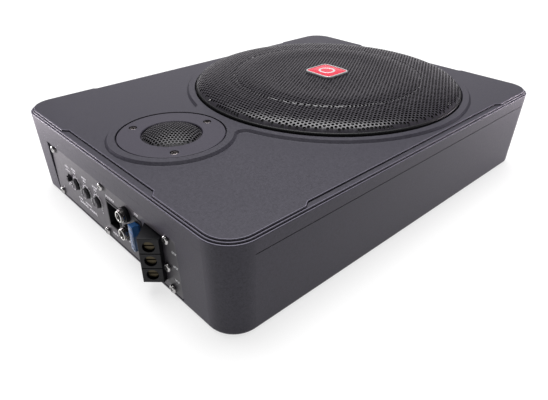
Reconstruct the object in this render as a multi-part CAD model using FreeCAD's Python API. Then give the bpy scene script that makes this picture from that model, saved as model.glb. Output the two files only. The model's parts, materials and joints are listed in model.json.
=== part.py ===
"""Powered under-seat car subwoofer, modelled as the separate pieces it comes apart into.

Millimetres.  The origin is the centre of the enclosure's footprint on the surface it rests on.
+X runs along the 345 mm length (the control panel is at the -X end), +Y along the 260 mm width,
and +Z is up.
"""
import FreeCAD
import Part
import math
import os

V = FreeCAD.Vector

# ---------------------------------------------------------------- enclosure
LENGTH = 345.0
WIDTH = 260.0
DECK_Z = 68.0
DRAFT = 2.1                  # lean of the side walls between the rim and the bottom
CORNER_R = 20.6
BOTTOM_CORNER_R = 18.6
BOTTOM_EDGE_R = 3.0
WALL = 3.0
STEP_RUN = 1.3               # two small steps lead from the wall up to the deck
STEP_DROP = 1.1
EDGE_SOFTEN = 0.65
RIM_GROOVE_W = 0.45           # fine groove along the foot of each step
RIM_GROOVE_D = 0.6
RIM_Z = DECK_Z - 2 * STEP_DROP
SEAM_Z = 56.5                # where the cover's skirt ends
SEAM_GAP = 0.5
SEAM_HALF = 152.0            # the gap is open along the long sides and closes before the corners
SEAM_CLOSED_GAP = 0.04
LIP_TOP_Z = 59.6
LIP_THICKNESS = 1.3
SKIRT_THICKNESS = 1.35
GASKET_HEIGHT = 1.0

# the deck edge is set back along the middle of each side
LONG_INSET = 3.0
LONG_INSET_HALF = 109.0
END_INSET = 3.7
END_INSET_HALF = 56.5
JOG_RUN = 4.5

# ---------------------------------------------------------------- raised platform and openings
WOOFER_X = 44.0
TWEETER_X = -116.8
PLATFORM_H = 1.8
PLATFORM_SLOPE = 1.7
WOOFER_PLATFORM_R = 122.0
TWEETER_PLATFORM_R = 45.5
NECK_R = 6.0
PLATFORM_Z = DECK_Z + PLATFORM_H
GRILLE_RECESS_R = 115.4
SHELF_Z = 64.2
SHELF_BOTTOM_Z = 60.7
SHELF_RING_R = 118.5
WOOFER_HOLE_R = 98.6
TWEETER_RECESS_R = 38.6
TWEETER_SHELF_Z = 66.5
TWEETER_SHELF_BOTTOM_Z = 62.0
TWEETER_RING_R = 41.0
TWEETER_HOLE_R = 26.0

# ---------------------------------------------------------------- woofer grille and badge
GRILLE_SHEET = 0.9
GRILLE_R = 114.3
GRILLE_FOOT_Z = 66.0
# radius and height of the grille's outer surface, from the centre out to the rolled edge
GRILLE_PROFILE = [(0.0, 78.7), (50.0, 78.7), (78.0, 78.5), (81.5, 78.1), (86.0, 77.75), (90.0, 77.7),
                  (98.0, 77.1), (104.0, 76.4), (108.0, 75.7), (111.0, 74.8), (113.0, 73.6), (114.1, 71.8)]
BADGE_X_SIZE = 28.0
BADGE_Y_SIZE = 29.0
BADGE_R = 5.0
BADGE_TOP_Z = 80.6
BADGE_RIM = 1.2
BADGE_INLAY_DEPTH = 0.5

# ---------------------------------------------------------------- woofer driver
FLANGE_R = 112.5
FLANGE_T = 1.5
FLANGE_TOP_Z = SHELF_Z + FLANGE_T
BASKET_SHEET = 1.4
MOTOR_BASE_Z = 6.0
BACK_PLATE_T = 6.0
BACK_PLATE_R = 54.0
MAGNET_R = 58.0
MAGNET_HOLE_R = 33.0
MAGNET_T = 14.0
TOP_PLATE_R = 54.0
TOP_PLATE_HOLE_R = 27.4
TOP_PLATE_T = 5.0
POLE_R = 24.4
VENT_R = 8.0
FORMER_R = 25.1
FORMER_T = 0.3
WINDING_T = 1.1
WOOFER_SCREW_PITCH_R = 106.5
WOOFER_SCREW_COUNT = 8
SURROUND_IN_R = 77.0
SURROUND_OUT_R = 100.5
ROLL_IN_R = 80.6
ROLL_OUT_R = 95.4
ROLL_HEIGHT = 5.2
RUBBER_T = 0.8
CONE_T = 1.0
CONE_NECK_Z = 44.0
DUST_CAP_R = 34.0
SPIDER_OUT_R = 56.5
SPIDER_Z = 39.6
SPIDER_WAVES = 4
SPIDER_WAVE_H = 1.1
SPIDER_T = 0.5

# ---------------------------------------------------------------- tweeter
TWEETER_PLATE_R = 37.6
TWEETER_PLATE_TOP_Z = PLATFORM_Z - 0.2
TWEETER_MOUTH_R = 21.4
TWEETER_SCREW_PITCH_R = 30.6
TWEETER_SCREW_COUNT = 3
TWEETER_MESH_R = 21.2
TWEETER_MESH_FOOT_Z = 69.2
TWEETER_MESH_TOP_Z = 73.8
TWEETER_MESH_T = 0.6
TWEETER_BODY_R = 25.4
TWEETER_BODY_BOTTOM_Z = 47.5
DIAPHRAGM_R = 12.5
DIAPHRAGM_Z = 58.5

# ---------------------------------------------------------------- control panel (end at -X)
PANEL_FACE_X = -170.3
PANEL_T = 2.0
PANEL_Y0 = -83.0
PANEL_Y1 = 93.4
PANEL_Z0 = 4.1
PANEL_Z1 = 47.8
PANEL_GAP = 0.5
PANEL_CORNER_R = 1.5
PANEL_BACK_X = PANEL_FACE_X + PANEL_T
FRAME_T = 3.8                # thickness of the housing's seat behind the panel
FRAME_OPENING = (-66.3, 80.0, 9.6, 42.2)
# places of the panel's screws as (y, z)
PANEL_SCREWS = [(86.0, 43.9), (86.5, 7.2), (8.3, 44.2), (10.3, 6.9),
                (-72.0, 43.4), (-73.4, 7.3), (-70.4, 22.2)]
SCREW_HEAD_R = 3.0
SCREW_SHANK_R = 1.25

KNOB_R = 4.2
KNOB_HOLE_R = 4.5
KNOB_FRONT_X = -172.8
KNOB_BACK_X = -167.2
KNOB_STEM_R = 2.95
KNOB_Z = 26.0
KNOBS = {"gain_knob": 54.0, "crossover_knob": 37.0, "bass_boost_knob": 20.0}
POT_FRONT_X = -166.6
POT_BACK_X = -157.0
POT_HALF = 4.9

LEVER_Y = 64.0
LEVER_Z = 27.5
LEVER_WIDTH = 3.2
LEVER_HEIGHT = 3.8
LEVER_TRAVEL = 3.0
LEVER_FRONT_X = -173.3

SOCKET_Y0 = -12.4
SOCKET_Y1 = 5.3
SOCKET_Z0 = 14.3
SOCKET_Z1 = 35.8
SOCKET_WALL = 1.3
SOCKET_DEPTH = 12.5

RCA_Y = -23.0
RCA_Z = (37.2, 23.2)
RCA_SHELL_R = 4.15           # the part a plug's collar grips
RCA_SHELL_HOLE_R = 3.45
RCA_NECK_R = 4.6             # thicker from the washer's face inwards
RCA_FRONT_X = -176.0
RCA_WASHER_R = 5.6
RCA_WASHER_T = 2.6

FUSE_Y = -38.0
FUSE_THICKNESS = 5.0
FUSE_Z0 = 19.0
FUSE_HEIGHT = 19.0
FUSE_FRONT_X = -176.4
FUSE_BACK_X = -166.6
BLADE_WIDTH = 5.2
BLADE_T = 0.7
BLADE_LENGTH = 8.0

# terminal block: a wedge in plan, with the screws in its slanted face
BLOCK_ROOT = (PANEL_FACE_X, -46.8)
BLOCK_APEX = (-182.6, -58.5)
BLOCK_NOSE = (-173.3, -67.3)
BLOCK_FOOT = (PANEL_FACE_X, -66.0)
BLOCK_Z0 = 9.5
BLOCK_Z1 = 42.5
CELL_PITCH = 10.5
CELL_COUNT = 3
WELL_R = 3.8
WELL_DEPTH = 3.4
CLAMP_SCREW_HEAD_R = 3.2
CLAMP_SCREW_SHANK_R = 1.5
CAGE_TRAVEL = 1.95
CAGE_CLEARANCE = 0.4

# ---------------------------------------------------------------- amplifier
BOARD_Z = 11.0
BOARD_T = 1.6
BOARD = (-162.5, -88.0, -92.0, 97.0)
BOARD_TOP_Z = BOARD_Z + BOARD_T


# ================================================================ helpers
def box(x0, x1, y0, y1, z0, z1):
    return Part.makeBox(x1 - x0, y1 - y0, z1 - z0, V(x0, y0, z0))


def cyl(x, y, z0, z1, r):
    return Part.makeCylinder(r, z1 - z0, V(x, y, z0))


def ring(x, y, z0, z1, r_out, r_in):
    return cyl(x, y, z0, z1, r_out).cut(cyl(x, y, z0 - 1, z1 + 1, r_in))


def cyl_x(y, z, x0, x1, r):
    return Part.makeCylinder(r, x1 - x0, V(x0, y, z), V(1, 0, 0))


def fuse(shapes):
    result = shapes[0].multiFuse(shapes[1:]) if len(shapes) > 1 else shapes[0]
    return result.removeSplitter()


def cut(shape, tools):
    return shape.cut(Part.makeCompound(tools)).removeSplitter()


def rounded_rect(hx, hy, r, z, cx=0.0, cy=0.0):
    """Closed wire of a rounded rectangle with half sizes hx, hy at height z."""
    edges = []
    half_diagonal = r * math.sqrt(0.5)
    corners = [(1, -1), (1, 1), (-1, 1), (-1, -1)]
    for index, (sx, sy) in enumerate(corners):
        nx, ny = corners[(index + 1) % 4]
        mx, my = cx + sx * (hx - r), cy + sy * (hy - r)
        along_y = sx == nx
        start = V(mx, cy + sy * hy, z) if along_y else V(cx + sx * hx, my, z)
        end = V(cx + sx * hx, my, z) if along_y else V(mx, cy + sy * hy, z)
        middle = V(mx + sx * half_diagonal, my + sy * half_diagonal, z)
        edges.append(Part.Arc(start, middle, end).toShape())
        bx, by = cx + nx * (hx - r), cy + ny * (hy - r)
        next_start = V(cx + nx * hx, by, z) if along_y else V(bx, cy + ny * hy, z)
        edges.append(Part.LineSegment(end, next_start).toShape())
    return Part.Wire(edges)


def prism(wire, height):
    return Part.Face(wire).extrude(V(0, 0, height))


def polygon(points):
    vectors = [V(*p) for p in points]
    return Part.makePolygon(vectors + vectors[:1])


def revolve(points, cx, cy=0.0):
    """Solid of revolution about a vertical axis at (cx, cy) from (radius, z) points."""
    face = Part.Face(polygon([(cx + r, cy, z) for r, z in points]))
    return face.revolve(V(cx, cy, 0), V(0, 0, 1), 360)


def sheet_of_revolution(points, thickness, cx):
    """A dished sheet whose outer surface follows a smooth line through (radius, z) points."""
    rim_r = points[-1][0]
    level, downward = V(1, 0, 0), V(0.05, 0, -1)
    outer = Part.BSplineCurve()
    outer.interpolate([V(cx + r, 0, z) for r, z in points],
                      InitialTangent=level, FinalTangent=downward)
    inner = Part.BSplineCurve()
    inner.interpolate([V(cx + r - thickness * r / rim_r, 0, z - thickness) for r, z in points],
                      InitialTangent=level, FinalTangent=downward)
    rim = Part.LineSegment(outer.EndPoint, inner.EndPoint).toShape()
    middle = Part.LineSegment(inner.StartPoint, outer.StartPoint).toShape()
    wire = Part.Wire([outer.toShape(), rim, inner.toShape(), middle])
    return Part.Face(wire).revolve(V(cx, 0, 0), V(0, 0, 1), 360)


def around(count, radius, cx, start=0.0):
    """Centres of count places spaced evenly on a circle about (cx, 0)."""
    places = []
    for index in range(count):
        angle = math.radians(start + 360.0 * index / count)
        places.append((cx + radius * math.cos(angle), radius * math.sin(angle)))
    return places


def horizontal_edges(solid, z):
    boxes = [(e, e.BoundBox) for e in solid.Edges]
    return [e for e, b in boxes if abs(b.ZMin - z) < 1e-3 and abs(b.ZMax - z) < 1e-3]


def front_edges(solid, x):
    return [e for e in solid.Edges if abs(e.BoundBox.XMax - x) < 1e-3]


def round_edges_at(solid, z, radius):
    return solid.makeFillet(radius, horizontal_edges(solid, z))


def save(name, *solids):
    shape = solids[0] if len(solids) == 1 else Part.makeCompound(list(solids))
    count = sum(len(s.Solids) for s in solids)
    if not shape.isValid() or count == 0:
        raise ValueError(name + " is not a valid solid")
    shape.exportStep("parts/%s.step" % name)
    print("%-24s solids %2d  volume %9.1f  z %6.2f..%6.2f" % (
        name, count, shape.Volume, shape.BoundBox.ZMin, shape.BoundBox.ZMax))


# ================================================================ enclosure
def half_sizes(z, offset):
    lean = DRAFT * (RIM_Z - z) / RIM_Z
    return LENGTH / 2 - lean - offset, WIDTH / 2 - lean - offset


def corner_radius(z, offset):
    radius = BOTTOM_CORNER_R + (CORNER_R - BOTTOM_CORNER_R) * z / RIM_Z
    return max(radius - offset, 2.0)


def outline(z, offset=0.0):
    hx, hy = half_sizes(z, offset)
    return rounded_rect(hx, hy, corner_radius(z, offset), z)


def drafted(z0, z1, offset=0.0):
    """Block that follows the leaning walls between two heights, set in by offset."""
    return Part.makeLoft([outline(z0, offset), outline(z1, offset)], True, True)


def deck_outline(z):
    """Edge of the deck: a rounded rectangle with each side's middle stretch set back."""
    hx = LENGTH / 2 - 2 * STEP_RUN
    hy = WIDTH / 2 - 2 * STEP_RUN
    r = CORNER_R - 2 * STEP_RUN
    edges = []
    half_diagonal = r * math.sqrt(0.5)

    def point(x, y):
        return V(x, y, z)

    def side(points):
        for a, b in zip(points, points[1:]):
            edges.append(Part.LineSegment(a, b).toShape())

    def corner(sx, sy, first_along_x):
        on_long = point(sx * (hx - r), sy * hy)
        on_end = point(sx * hx, sy * (hy - r))
        middle = point(sx * (hx - r + half_diagonal), sy * (hy - r + half_diagonal))
        ends = (on_long, on_end) if first_along_x else (on_end, on_long)
        edges.append(Part.Arc(ends[0], middle, ends[1]).toShape())

    long_jog = LONG_INSET_HALF + JOG_RUN
    end_jog = END_INSET_HALF + JOG_RUN
    for s in (-1, 1):
        # the long side at y = s * hy, then the end side that follows it
        side([point(s * (hx - r), s * hy),
              point(s * long_jog, s * hy),
              point(s * LONG_INSET_HALF, s * (hy - LONG_INSET)),
              point(-s * LONG_INSET_HALF, s * (hy - LONG_INSET)),
              point(-s * long_jog, s * hy),
              point(-s * (hx - r), s * hy)])
        corner(-s, s, True)
        side([point(-s * hx, s * (hy - r)),
              point(-s * hx, s * end_jog),
              point(-s * (hx - END_INSET), s * END_INSET_HALF),
              point(-s * (hx - END_INSET), -s * END_INSET_HALF),
              point(-s * hx, -s * end_jog),
              point(-s * hx, -s * (hy - r))])
        corner(-s, -s, False)
    return Part.Wire(Part.__sortEdges__(edges))


def platform():
    """Raised ground of two joined discs, one round each driver, with sloped edges."""
    discs = fuse([cyl(WOOFER_X, 0, DECK_Z - 1, PLATFORM_Z, WOOFER_PLATFORM_R),
                  cyl(TWEETER_X, 0, DECK_Z - 1, PLATFORM_Z, TWEETER_PLATFORM_R)])
    upright = [e for e in discs.Edges if e.BoundBox.XLength < 1e-3 and e.BoundBox.ZLength > 1]
    necks = [e for e in upright if abs(e.BoundBox.YMin) > 5]
    discs = discs.makeFillet(NECK_R, necks)
    return discs.makeChamfer(PLATFORM_SLOPE, horizontal_edges(discs, PLATFORM_Z))


HOUSING_SCREWS = [(-155.0, -112.0), (-155.0, 112.0), (155.0, -112.0), (155.0, 112.0),
                  (-62.0, -118.0), (-62.0, 118.0)]


def foot_groove(outline_wire):
    """Narrow band just outside an outline, from the outline's height upwards."""
    inner = Part.Face(outline_wire)
    return inner.makeOffset2D(RIM_GROOVE_W).cut(inner).extrude(V(0, 0, 2 * RIM_GROOVE_D))


def make_top_cover():
    body = drafted(SEAM_Z, RIM_Z)
    body = round_edges_at(body, RIM_Z, EDGE_SOFTEN)
    hx, hy = half_sizes(RIM_Z, STEP_RUN)
    step = prism(rounded_rect(hx, hy, CORNER_R - STEP_RUN, RIM_Z - 2), 2 + STEP_DROP)
    step = round_edges_at(step, RIM_Z + STEP_DROP, EDGE_SOFTEN)
    step = cut(step, [foot_groove(deck_outline(RIM_Z + STEP_DROP - RIM_GROOVE_D))])
    body = cut(body, [foot_groove(rounded_rect(hx, hy, CORNER_R - STEP_RUN, RIM_Z - RIM_GROOVE_D))])
    deck = prism(deck_outline(RIM_Z - 2), 2 + 2 * STEP_DROP)
    deck = round_edges_at(deck, DECK_Z, EDGE_SOFTEN)
    body = fuse([body, step, deck, platform()])
    ceiling = DECK_Z - WALL
    skirt_space = drafted(SEAM_Z - 1, LIP_TOP_Z + GASKET_HEIGHT, SKIRT_THICKNESS)
    inside = drafted(SEAM_Z - 1, ceiling, WALL)
    body = cut(body, [skirt_space, inside])
    rings = [cyl(WOOFER_X, 0, SHELF_BOTTOM_Z, DECK_Z, SHELF_RING_R),
             cyl(TWEETER_X, 0, TWEETER_SHELF_BOTTOM_Z, DECK_Z, TWEETER_RING_R)]
    bosses = [cyl(x, y, SEAM_Z + 2.2, ceiling + 0.5, 4.4) for x, y in HOUSING_SCREWS]
    body = fuse([body] + rings + bosses)
    holes = [cyl(WOOFER_X, 0, SHELF_Z, PLATFORM_Z + 1, GRILLE_RECESS_R),
             cyl(WOOFER_X, 0, 50, PLATFORM_Z, WOOFER_HOLE_R),
             cyl(TWEETER_X, 0, TWEETER_SHELF_Z, PLATFORM_Z + 1, TWEETER_RECESS_R),
             cyl(TWEETER_X, 0, 50, PLATFORM_Z, TWEETER_HOLE_R)]
    holes += [cyl(x, y, 50, 63.5, 1.5) for x, y in HOUSING_SCREWS]
    holes += [cyl(x, y, SHELF_BOTTOM_Z - 1, SHELF_Z + 1, 1.5) for x, y in woofer_screw_places()]
    holes += [cyl(x, y, TWEETER_SHELF_BOTTOM_Z - 1, TWEETER_SHELF_Z + 1, 1.1)
              for x, y in around(TWEETER_SCREW_COUNT, TWEETER_SCREW_PITCH_R, TWEETER_X)]
    save("top_cover", cut(body, holes))


def make_lower_housing():
    top = SEAM_Z - SEAM_GAP
    body = round_edges_at(drafted(0, top), 0, BOTTOM_EDGE_R)
    closed_top = SEAM_Z - SEAM_CLOSED_GAP
    open_stretch = box(-SEAM_HALF, SEAM_HALF, -WIDTH, WIDTH, top - 1, closed_top + 1)
    body = fuse([body, cut(drafted(top - 0.5, closed_top), [open_stretch])])
    body = cut(body, [drafted(WALL, closed_top + 1, WALL)])
    lip = drafted(top - 1, LIP_TOP_Z, WALL - LIP_THICKNESS)
    lip = cut(lip, [drafted(top - 2, LIP_TOP_Z + 1, WALL)])
    wall_inside = -half_sizes(0, WALL)[0]
    frame_back = PANEL_BACK_X + FRAME_T
    frame = box(wall_inside - 1.5, frame_back, PANEL_Y0 - 4, PANEL_Y1 + 4, WALL - 0.2, PANEL_Z1 + 3.4)
    bosses = [cyl(x, y, WALL - 0.5, SEAM_Z + 1.8, 4.8) for x, y in HOUSING_SCREWS]
    standoffs = [cyl(x, y, WALL - 0.5, BOARD_Z, 3.4) for x, y in BOARD_FIXINGS]
    ribs = [box(x - 0.8, x + 0.8, -120, 120, WALL - 0.5, WALL + 1.6) for x in (-75.0, 112.0)]
    body = fuse([body, lip, frame] + bosses + standoffs + ribs)
    g = PANEL_GAP
    pocket = box(-LENGTH, PANEL_BACK_X, PANEL_Y0 - g, PANEL_Y1 + g, PANEL_Z0 - g, PANEL_Z1 + g)
    y0, y1, z0, z1 = FRAME_OPENING
    window = box(-LENGTH, frame_back + 2, y0, y1, z0, z1)
    holes = [pocket, window]
    for y, z in PANEL_SCREWS:
        holes.append(cyl_x(y, z, PANEL_BACK_X - 1, frame_back + 1, SCREW_SHANK_R + 0.05))
    holes += [cyl(x, y, -1, 2.3, 3.6) for x, y in HOUSING_SCREWS]
    holes += [cyl(x, y, -1, SEAM_Z + 3, 1.8) for x, y in HOUSING_SCREWS]
    holes += [cyl(x, y, WALL + 1, BOARD_Z + 1, 1.1) for x, y in BOARD_FIXINGS]
    save("lower_housing", cut(body, holes))


def make_enclosure_trim():
    gap = 0.1
    outer = drafted(LIP_TOP_Z, LIP_TOP_Z + GASKET_HEIGHT, WALL - LIP_THICKNESS + gap)
    inner = drafted(LIP_TOP_Z - 1, LIP_TOP_Z + GASKET_HEIGHT + 1, WALL - gap)
    save("housing_gasket", cut(outer, [inner]))
    screws = []
    for x, y in HOUSING_SCREWS:
        head = cyl(x, y, 0.5, 2.3, 3.1)
        head = cut(head, [box(x - 2, x + 2, y - 0.4, y + 0.4, 0, 1.3),
                          box(x - 0.4, x + 0.4, y - 2, y + 2, 0, 1.3)])
        screws.append(fuse([head, cyl(x, y, 2.3, 62.5, 1.45)]))
    save("housing_screws", *screws)


# ================================================================ woofer grille and badge
def make_grille():
    crown = sheet_of_revolution(GRILLE_PROFILE, GRILLE_SHEET, WOOFER_X)
    shoulder_z = GRILLE_PROFILE[-1][1]
    wall = ring(WOOFER_X, 0, GRILLE_FOOT_Z, shoulder_z, GRILLE_R - 0.2, GRILLE_R - 0.2 - GRILLE_SHEET)
    foot = ring(WOOFER_X, 0, GRILLE_FOOT_Z, GRILLE_FOOT_Z + GRILLE_SHEET, GRILLE_R + 0.7, GRILLE_R - 1.5)
    save("woofer_grille", fuse([crown, wall, foot]))


def make_badge():
    base_z = GRILLE_PROFILE[0][1]
    hx, hy = BADGE_X_SIZE / 2, BADGE_Y_SIZE / 2
    frame = prism(rounded_rect(hx, hy, BADGE_R, base_z, WOOFER_X), BADGE_TOP_Z - base_z)
    pocket = prism(rounded_rect(hx - BADGE_RIM, hy - BADGE_RIM, BADGE_R - BADGE_RIM,
                                BADGE_TOP_Z - BADGE_INLAY_DEPTH, WOOFER_X), 2)
    save("badge_frame", cut(frame, [pocket]))
    gap = 0.05
    inlay = prism(rounded_rect(hx - BADGE_RIM - gap, hy - BADGE_RIM - gap, BADGE_R - BADGE_RIM,
                               BADGE_TOP_Z - BADGE_INLAY_DEPTH, WOOFER_X), BADGE_INLAY_DEPTH - 0.1)
    save("badge_inlay", inlay)


# ================================================================ woofer driver
TOP_PLATE_TOP_Z = MOTOR_BASE_Z + BACK_PLATE_T + MAGNET_T + TOP_PLATE_T
MAGNET_Z = MOTOR_BASE_Z + BACK_PLATE_T
CONE_RIM_Z = FLANGE_TOP_Z - CONE_T


def cone_z(r):
    """Height of the cone's underside at a radius."""
    rise = CONE_RIM_Z - CONE_NECK_Z
    return CONE_NECK_Z + rise * (r - FORMER_R) / (SURROUND_IN_R - FORMER_R)


def make_motor():
    z = MAGNET_Z
    plate = cyl(WOOFER_X, 0, MOTOR_BASE_Z, z, BACK_PLATE_R)
    plate = plate.makeChamfer(1.5, horizontal_edges(plate, MOTOR_BASE_Z))
    yoke = fuse([plate, cyl(WOOFER_X, 0, z, TOP_PLATE_TOP_Z, POLE_R)])
    save("back_plate_and_pole", cut(yoke, [cyl(WOOFER_X, 0, 0, 60, VENT_R)]))
    save("magnet", ring(WOOFER_X, 0, z, z + MAGNET_T, MAGNET_R, MAGNET_HOLE_R))
    save("top_plate", ring(WOOFER_X, 0, z + MAGNET_T, TOP_PLATE_TOP_Z, TOP_PLATE_R, TOP_PLATE_HOLE_R))


def woofer_screw_places():
    return around(WOOFER_SCREW_COUNT, WOOFER_SCREW_PITCH_R, WOOFER_X, 22.5)


def make_basket():
    z = TOP_PLATE_TOP_Z
    t = BASKET_SHEET
    pan = revolve([(30, z), (59, z), (96.2, 49), (98, SHELF_Z),
                   (FLANGE_R, SHELF_Z), (FLANGE_R, FLANGE_TOP_Z),
                   (96.6, FLANGE_TOP_Z), (94.8, 50), (58, z + t), (30, z + t)], WOOFER_X)
    landing = ring(WOOFER_X, 0, z + t - 0.5, SPIDER_Z, SPIDER_OUT_R + 1.5, SPIDER_OUT_R - 2.3)
    window_count = 6
    windows = []
    for x, y in around(window_count, 77, WOOFER_X, 30):
        windows.append(cyl(x, y, z + 5, 54, 11.5))
    places = woofer_screw_places()
    screw_holes = [cyl(x, y, 60, 70, 2.0) for x, y in places]
    save("woofer_basket", cut(fuse([pan, landing]), windows + screw_holes))
    screws = []
    for x, y in places:
        head = cyl(x, y, FLANGE_TOP_Z, FLANGE_TOP_Z + 2.2, 3.4)
        head = head.makeFillet(1.2, horizontal_edges(head, FLANGE_TOP_Z + 2.2))
        cross = [box(x - 1.8, x + 1.8, y - 0.4, y + 0.4, FLANGE_TOP_Z + 1, 70),
                 box(x - 0.4, x + 0.4, y - 1.8, y + 1.8, FLANGE_TOP_Z + 1, 70)]
        screws.append(fuse([cut(head, cross), cyl(x, y, SHELF_BOTTOM_Z + 0.5, FLANGE_TOP_Z, 1.45)]))
    save("woofer_screws", *screws)
    ring_out, ring_in = 102.6, 100.7
    save("basket_gasket", ring(WOOFER_X, 0, FLANGE_TOP_Z, FLANGE_TOP_Z + 1.6, ring_out, ring_in))
    tag_x = WOOFER_X - 99.5
    board = box(tag_x - 1.2, tag_x, -12, 12, 52, 60.4)
    tags = [box(tag_x - 7, tag_x - 1.2, y - 2.4, y + 2.4, 55.5, 56.3) for y in (-6, 6)]
    save("woofer_terminals", fuse([board] + tags))


def make_moving_parts():
    z = FLANGE_TOP_Z
    t = RUBBER_T
    middle = (ROLL_IN_R + ROLL_OUT_R) / 2
    half = (ROLL_OUT_R - ROLL_IN_R) / 2
    steps = 14
    roll_out, roll_in = [], []
    for index in range(steps + 1):
        angle = math.pi * index / steps
        roll_out.append((middle + half * math.cos(angle), z + t + (ROLL_HEIGHT - t) * math.sin(angle)))
        roll_in.append((middle + (half - t) * math.cos(angle), z + (ROLL_HEIGHT - t) * math.sin(angle)))
    profile = [(SURROUND_OUT_R, z), (SURROUND_OUT_R, z + t)] + roll_out
    profile += [(SURROUND_IN_R, z + t), (SURROUND_IN_R, z)] + roll_in[::-1]
    save("surround", revolve(profile, WOOFER_X))

    neck_r = FORMER_R + FORMER_T
    rim_z = CONE_RIM_Z
    cone = revolve([(neck_r, CONE_NECK_Z), (SURROUND_IN_R, rim_z), (ROLL_IN_R - 0.3, rim_z),
                    (ROLL_IN_R - 0.3, rim_z + CONE_T), (SURROUND_IN_R - 0.4, rim_z + CONE_T),
                    (neck_r, CONE_NECK_Z + CONE_T + 0.4)], WOOFER_X)
    save("cone", cone)

    cap_foot = cone_z(DUST_CAP_R) + 1.45
    cap = []
    rise = 6.5
    for index in range(9):
        r = DUST_CAP_R * (1 - index / 8.0)
        cap.append((r, cap_foot + rise * (1 - (r / DUST_CAP_R) ** 2)))
    under = [(max(r - 0.9, 0), h - 0.7) for r, h in cap]
    under[0] = (cap[0][0] - 1.0, cap_foot)
    save("dust_cap", revolve(cap + under[::-1], WOOFER_X))

    former_z0 = 21.0
    save("voice_coil_former", ring(WOOFER_X, 0, former_z0, CONE_NECK_Z + 3, neck_r, FORMER_R))
    save("voice_coil_winding", ring(WOOFER_X, 0, former_z0 + 1, former_z0 + 14, neck_r + WINDING_T, neck_r))

    count = SPIDER_WAVES * 8
    r0 = neck_r + 0.02
    upper, lower = [], []
    for index in range(count + 1):
        r = r0 + (SPIDER_OUT_R - 2.5 - r0) * index / count
        wave = SPIDER_WAVE_H * math.sin(2 * math.pi * SPIDER_WAVES * index / count)
        upper.append((r, SPIDER_Z + SPIDER_T + wave))
        lower.append((r, SPIDER_Z + wave))
    profile = upper + [(SPIDER_OUT_R, SPIDER_Z + SPIDER_T), (SPIDER_OUT_R, SPIDER_Z)] + lower[::-1]
    save("spider", revolve(profile, WOOFER_X))


# ================================================================ tweeter
def make_tweeter():
    top = TWEETER_PLATE_TOP_Z
    plate = cyl(TWEETER_X, 0, TWEETER_SHELF_Z, top, TWEETER_PLATE_R)
    plate = round_edges_at(plate, top, 0.4)
    mouth = revolve([(0, 60), (TWEETER_MOUTH_R, 60), (TWEETER_MOUTH_R, top - 0.5),
                     (TWEETER_MOUTH_R + 0.8, top + 0.3), (0, top + 0.3)], TWEETER_X)
    places = around(TWEETER_SCREW_COUNT, TWEETER_SCREW_PITCH_R, TWEETER_X)
    sinks = []
    for x, y in places:
        sinks.append(cyl(x, y, 60, 75, 1.5))
        sinks.append(cyl(x, y, top - 1.7, 75, 3.0))
    save("tweeter_plate", cut(plate, [mouth] + sinks))

    screws = []
    for x, y in places:
        head = cyl(x, y, top - 1.7, top - 0.25, 2.7)
        head = head.makeFillet(0.6, horizontal_edges(head, top - 0.25))
        cross = [box(x - 1.5, x + 1.5, y - 0.35, y + 0.35, top - 1.2, 75),
                 box(x - 0.35, x + 0.35, y - 1.5, y + 1.5, top - 1.2, 75)]
        shank = cyl(x, y, TWEETER_SHELF_BOTTOM_Z + 0.5, top - 1.7, 1.05)
        screws.append(fuse([cut(head, cross), shank]))
    save("tweeter_screws", *screws)

    cap_height = TWEETER_MESH_TOP_Z - TWEETER_MESH_FOOT_Z
    sphere_r = (TWEETER_MESH_R ** 2 + cap_height ** 2) / (2 * cap_height)
    centre = V(TWEETER_X, 0, TWEETER_MESH_TOP_Z - sphere_r)
    shell = Part.makeSphere(sphere_r, centre).cut(Part.makeSphere(sphere_r - TWEETER_MESH_T, centre))
    foot_z = TWEETER_MESH_FOOT_Z
    cap = shell.common(cyl(TWEETER_X, 0, foot_z, TWEETER_MESH_TOP_Z + 1, TWEETER_MESH_R + 1))
    skirt = ring(TWEETER_X, 0, TWEETER_SHELF_Z - 0.4, foot_z + 0.15, TWEETER_MESH_R, TWEETER_MESH_R - 0.7)
    save("tweeter_grille", fuse([cap, skirt]))

    floor_z = TWEETER_BODY_BOTTOM_Z
    cup = cyl(TWEETER_X, 0, floor_z, TWEETER_SHELF_Z, TWEETER_BODY_R)
    cup = cut(cup, [cyl(TWEETER_X, 0, floor_z + 2, 80, TWEETER_BODY_R - 1.8)])
    seat = ring(TWEETER_X, 0, DIAPHRAGM_Z - 3, DIAPHRAGM_Z - 1, TWEETER_BODY_R - 1.7, DIAPHRAGM_R + 1.2)
    ledge_z = TWEETER_SHELF_Z - 1.6
    cap_ledge = ring(TWEETER_X, 0, ledge_z, ledge_z + 1.2, TWEETER_BODY_R - 1.7, 20.0)
    save("tweeter_housing", fuse([cup, seat, cap_ledge]))

    save("tweeter_magnet", cyl(TWEETER_X, 0, floor_z + 2, DIAPHRAGM_Z - 3.4, 10.5))
    foot = DIAPHRAGM_Z
    dome_h = 4.2
    r_dome = (DIAPHRAGM_R ** 2 + dome_h ** 2) / (2 * dome_h)
    mid = V(TWEETER_X, 0, foot + dome_h - r_dome)
    skin = Part.makeSphere(r_dome, mid).cut(Part.makeSphere(r_dome - 0.4, mid))
    skin = skin.common(cyl(TWEETER_X, 0, foot, foot + dome_h + 1, DIAPHRAGM_R))
    coil = ring(TWEETER_X, 0, foot - 2.2, foot + 0.2, DIAPHRAGM_R - 0.2, DIAPHRAGM_R - 1.2)
    save("tweeter_diaphragm", fuse([skin, coil]))


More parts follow.
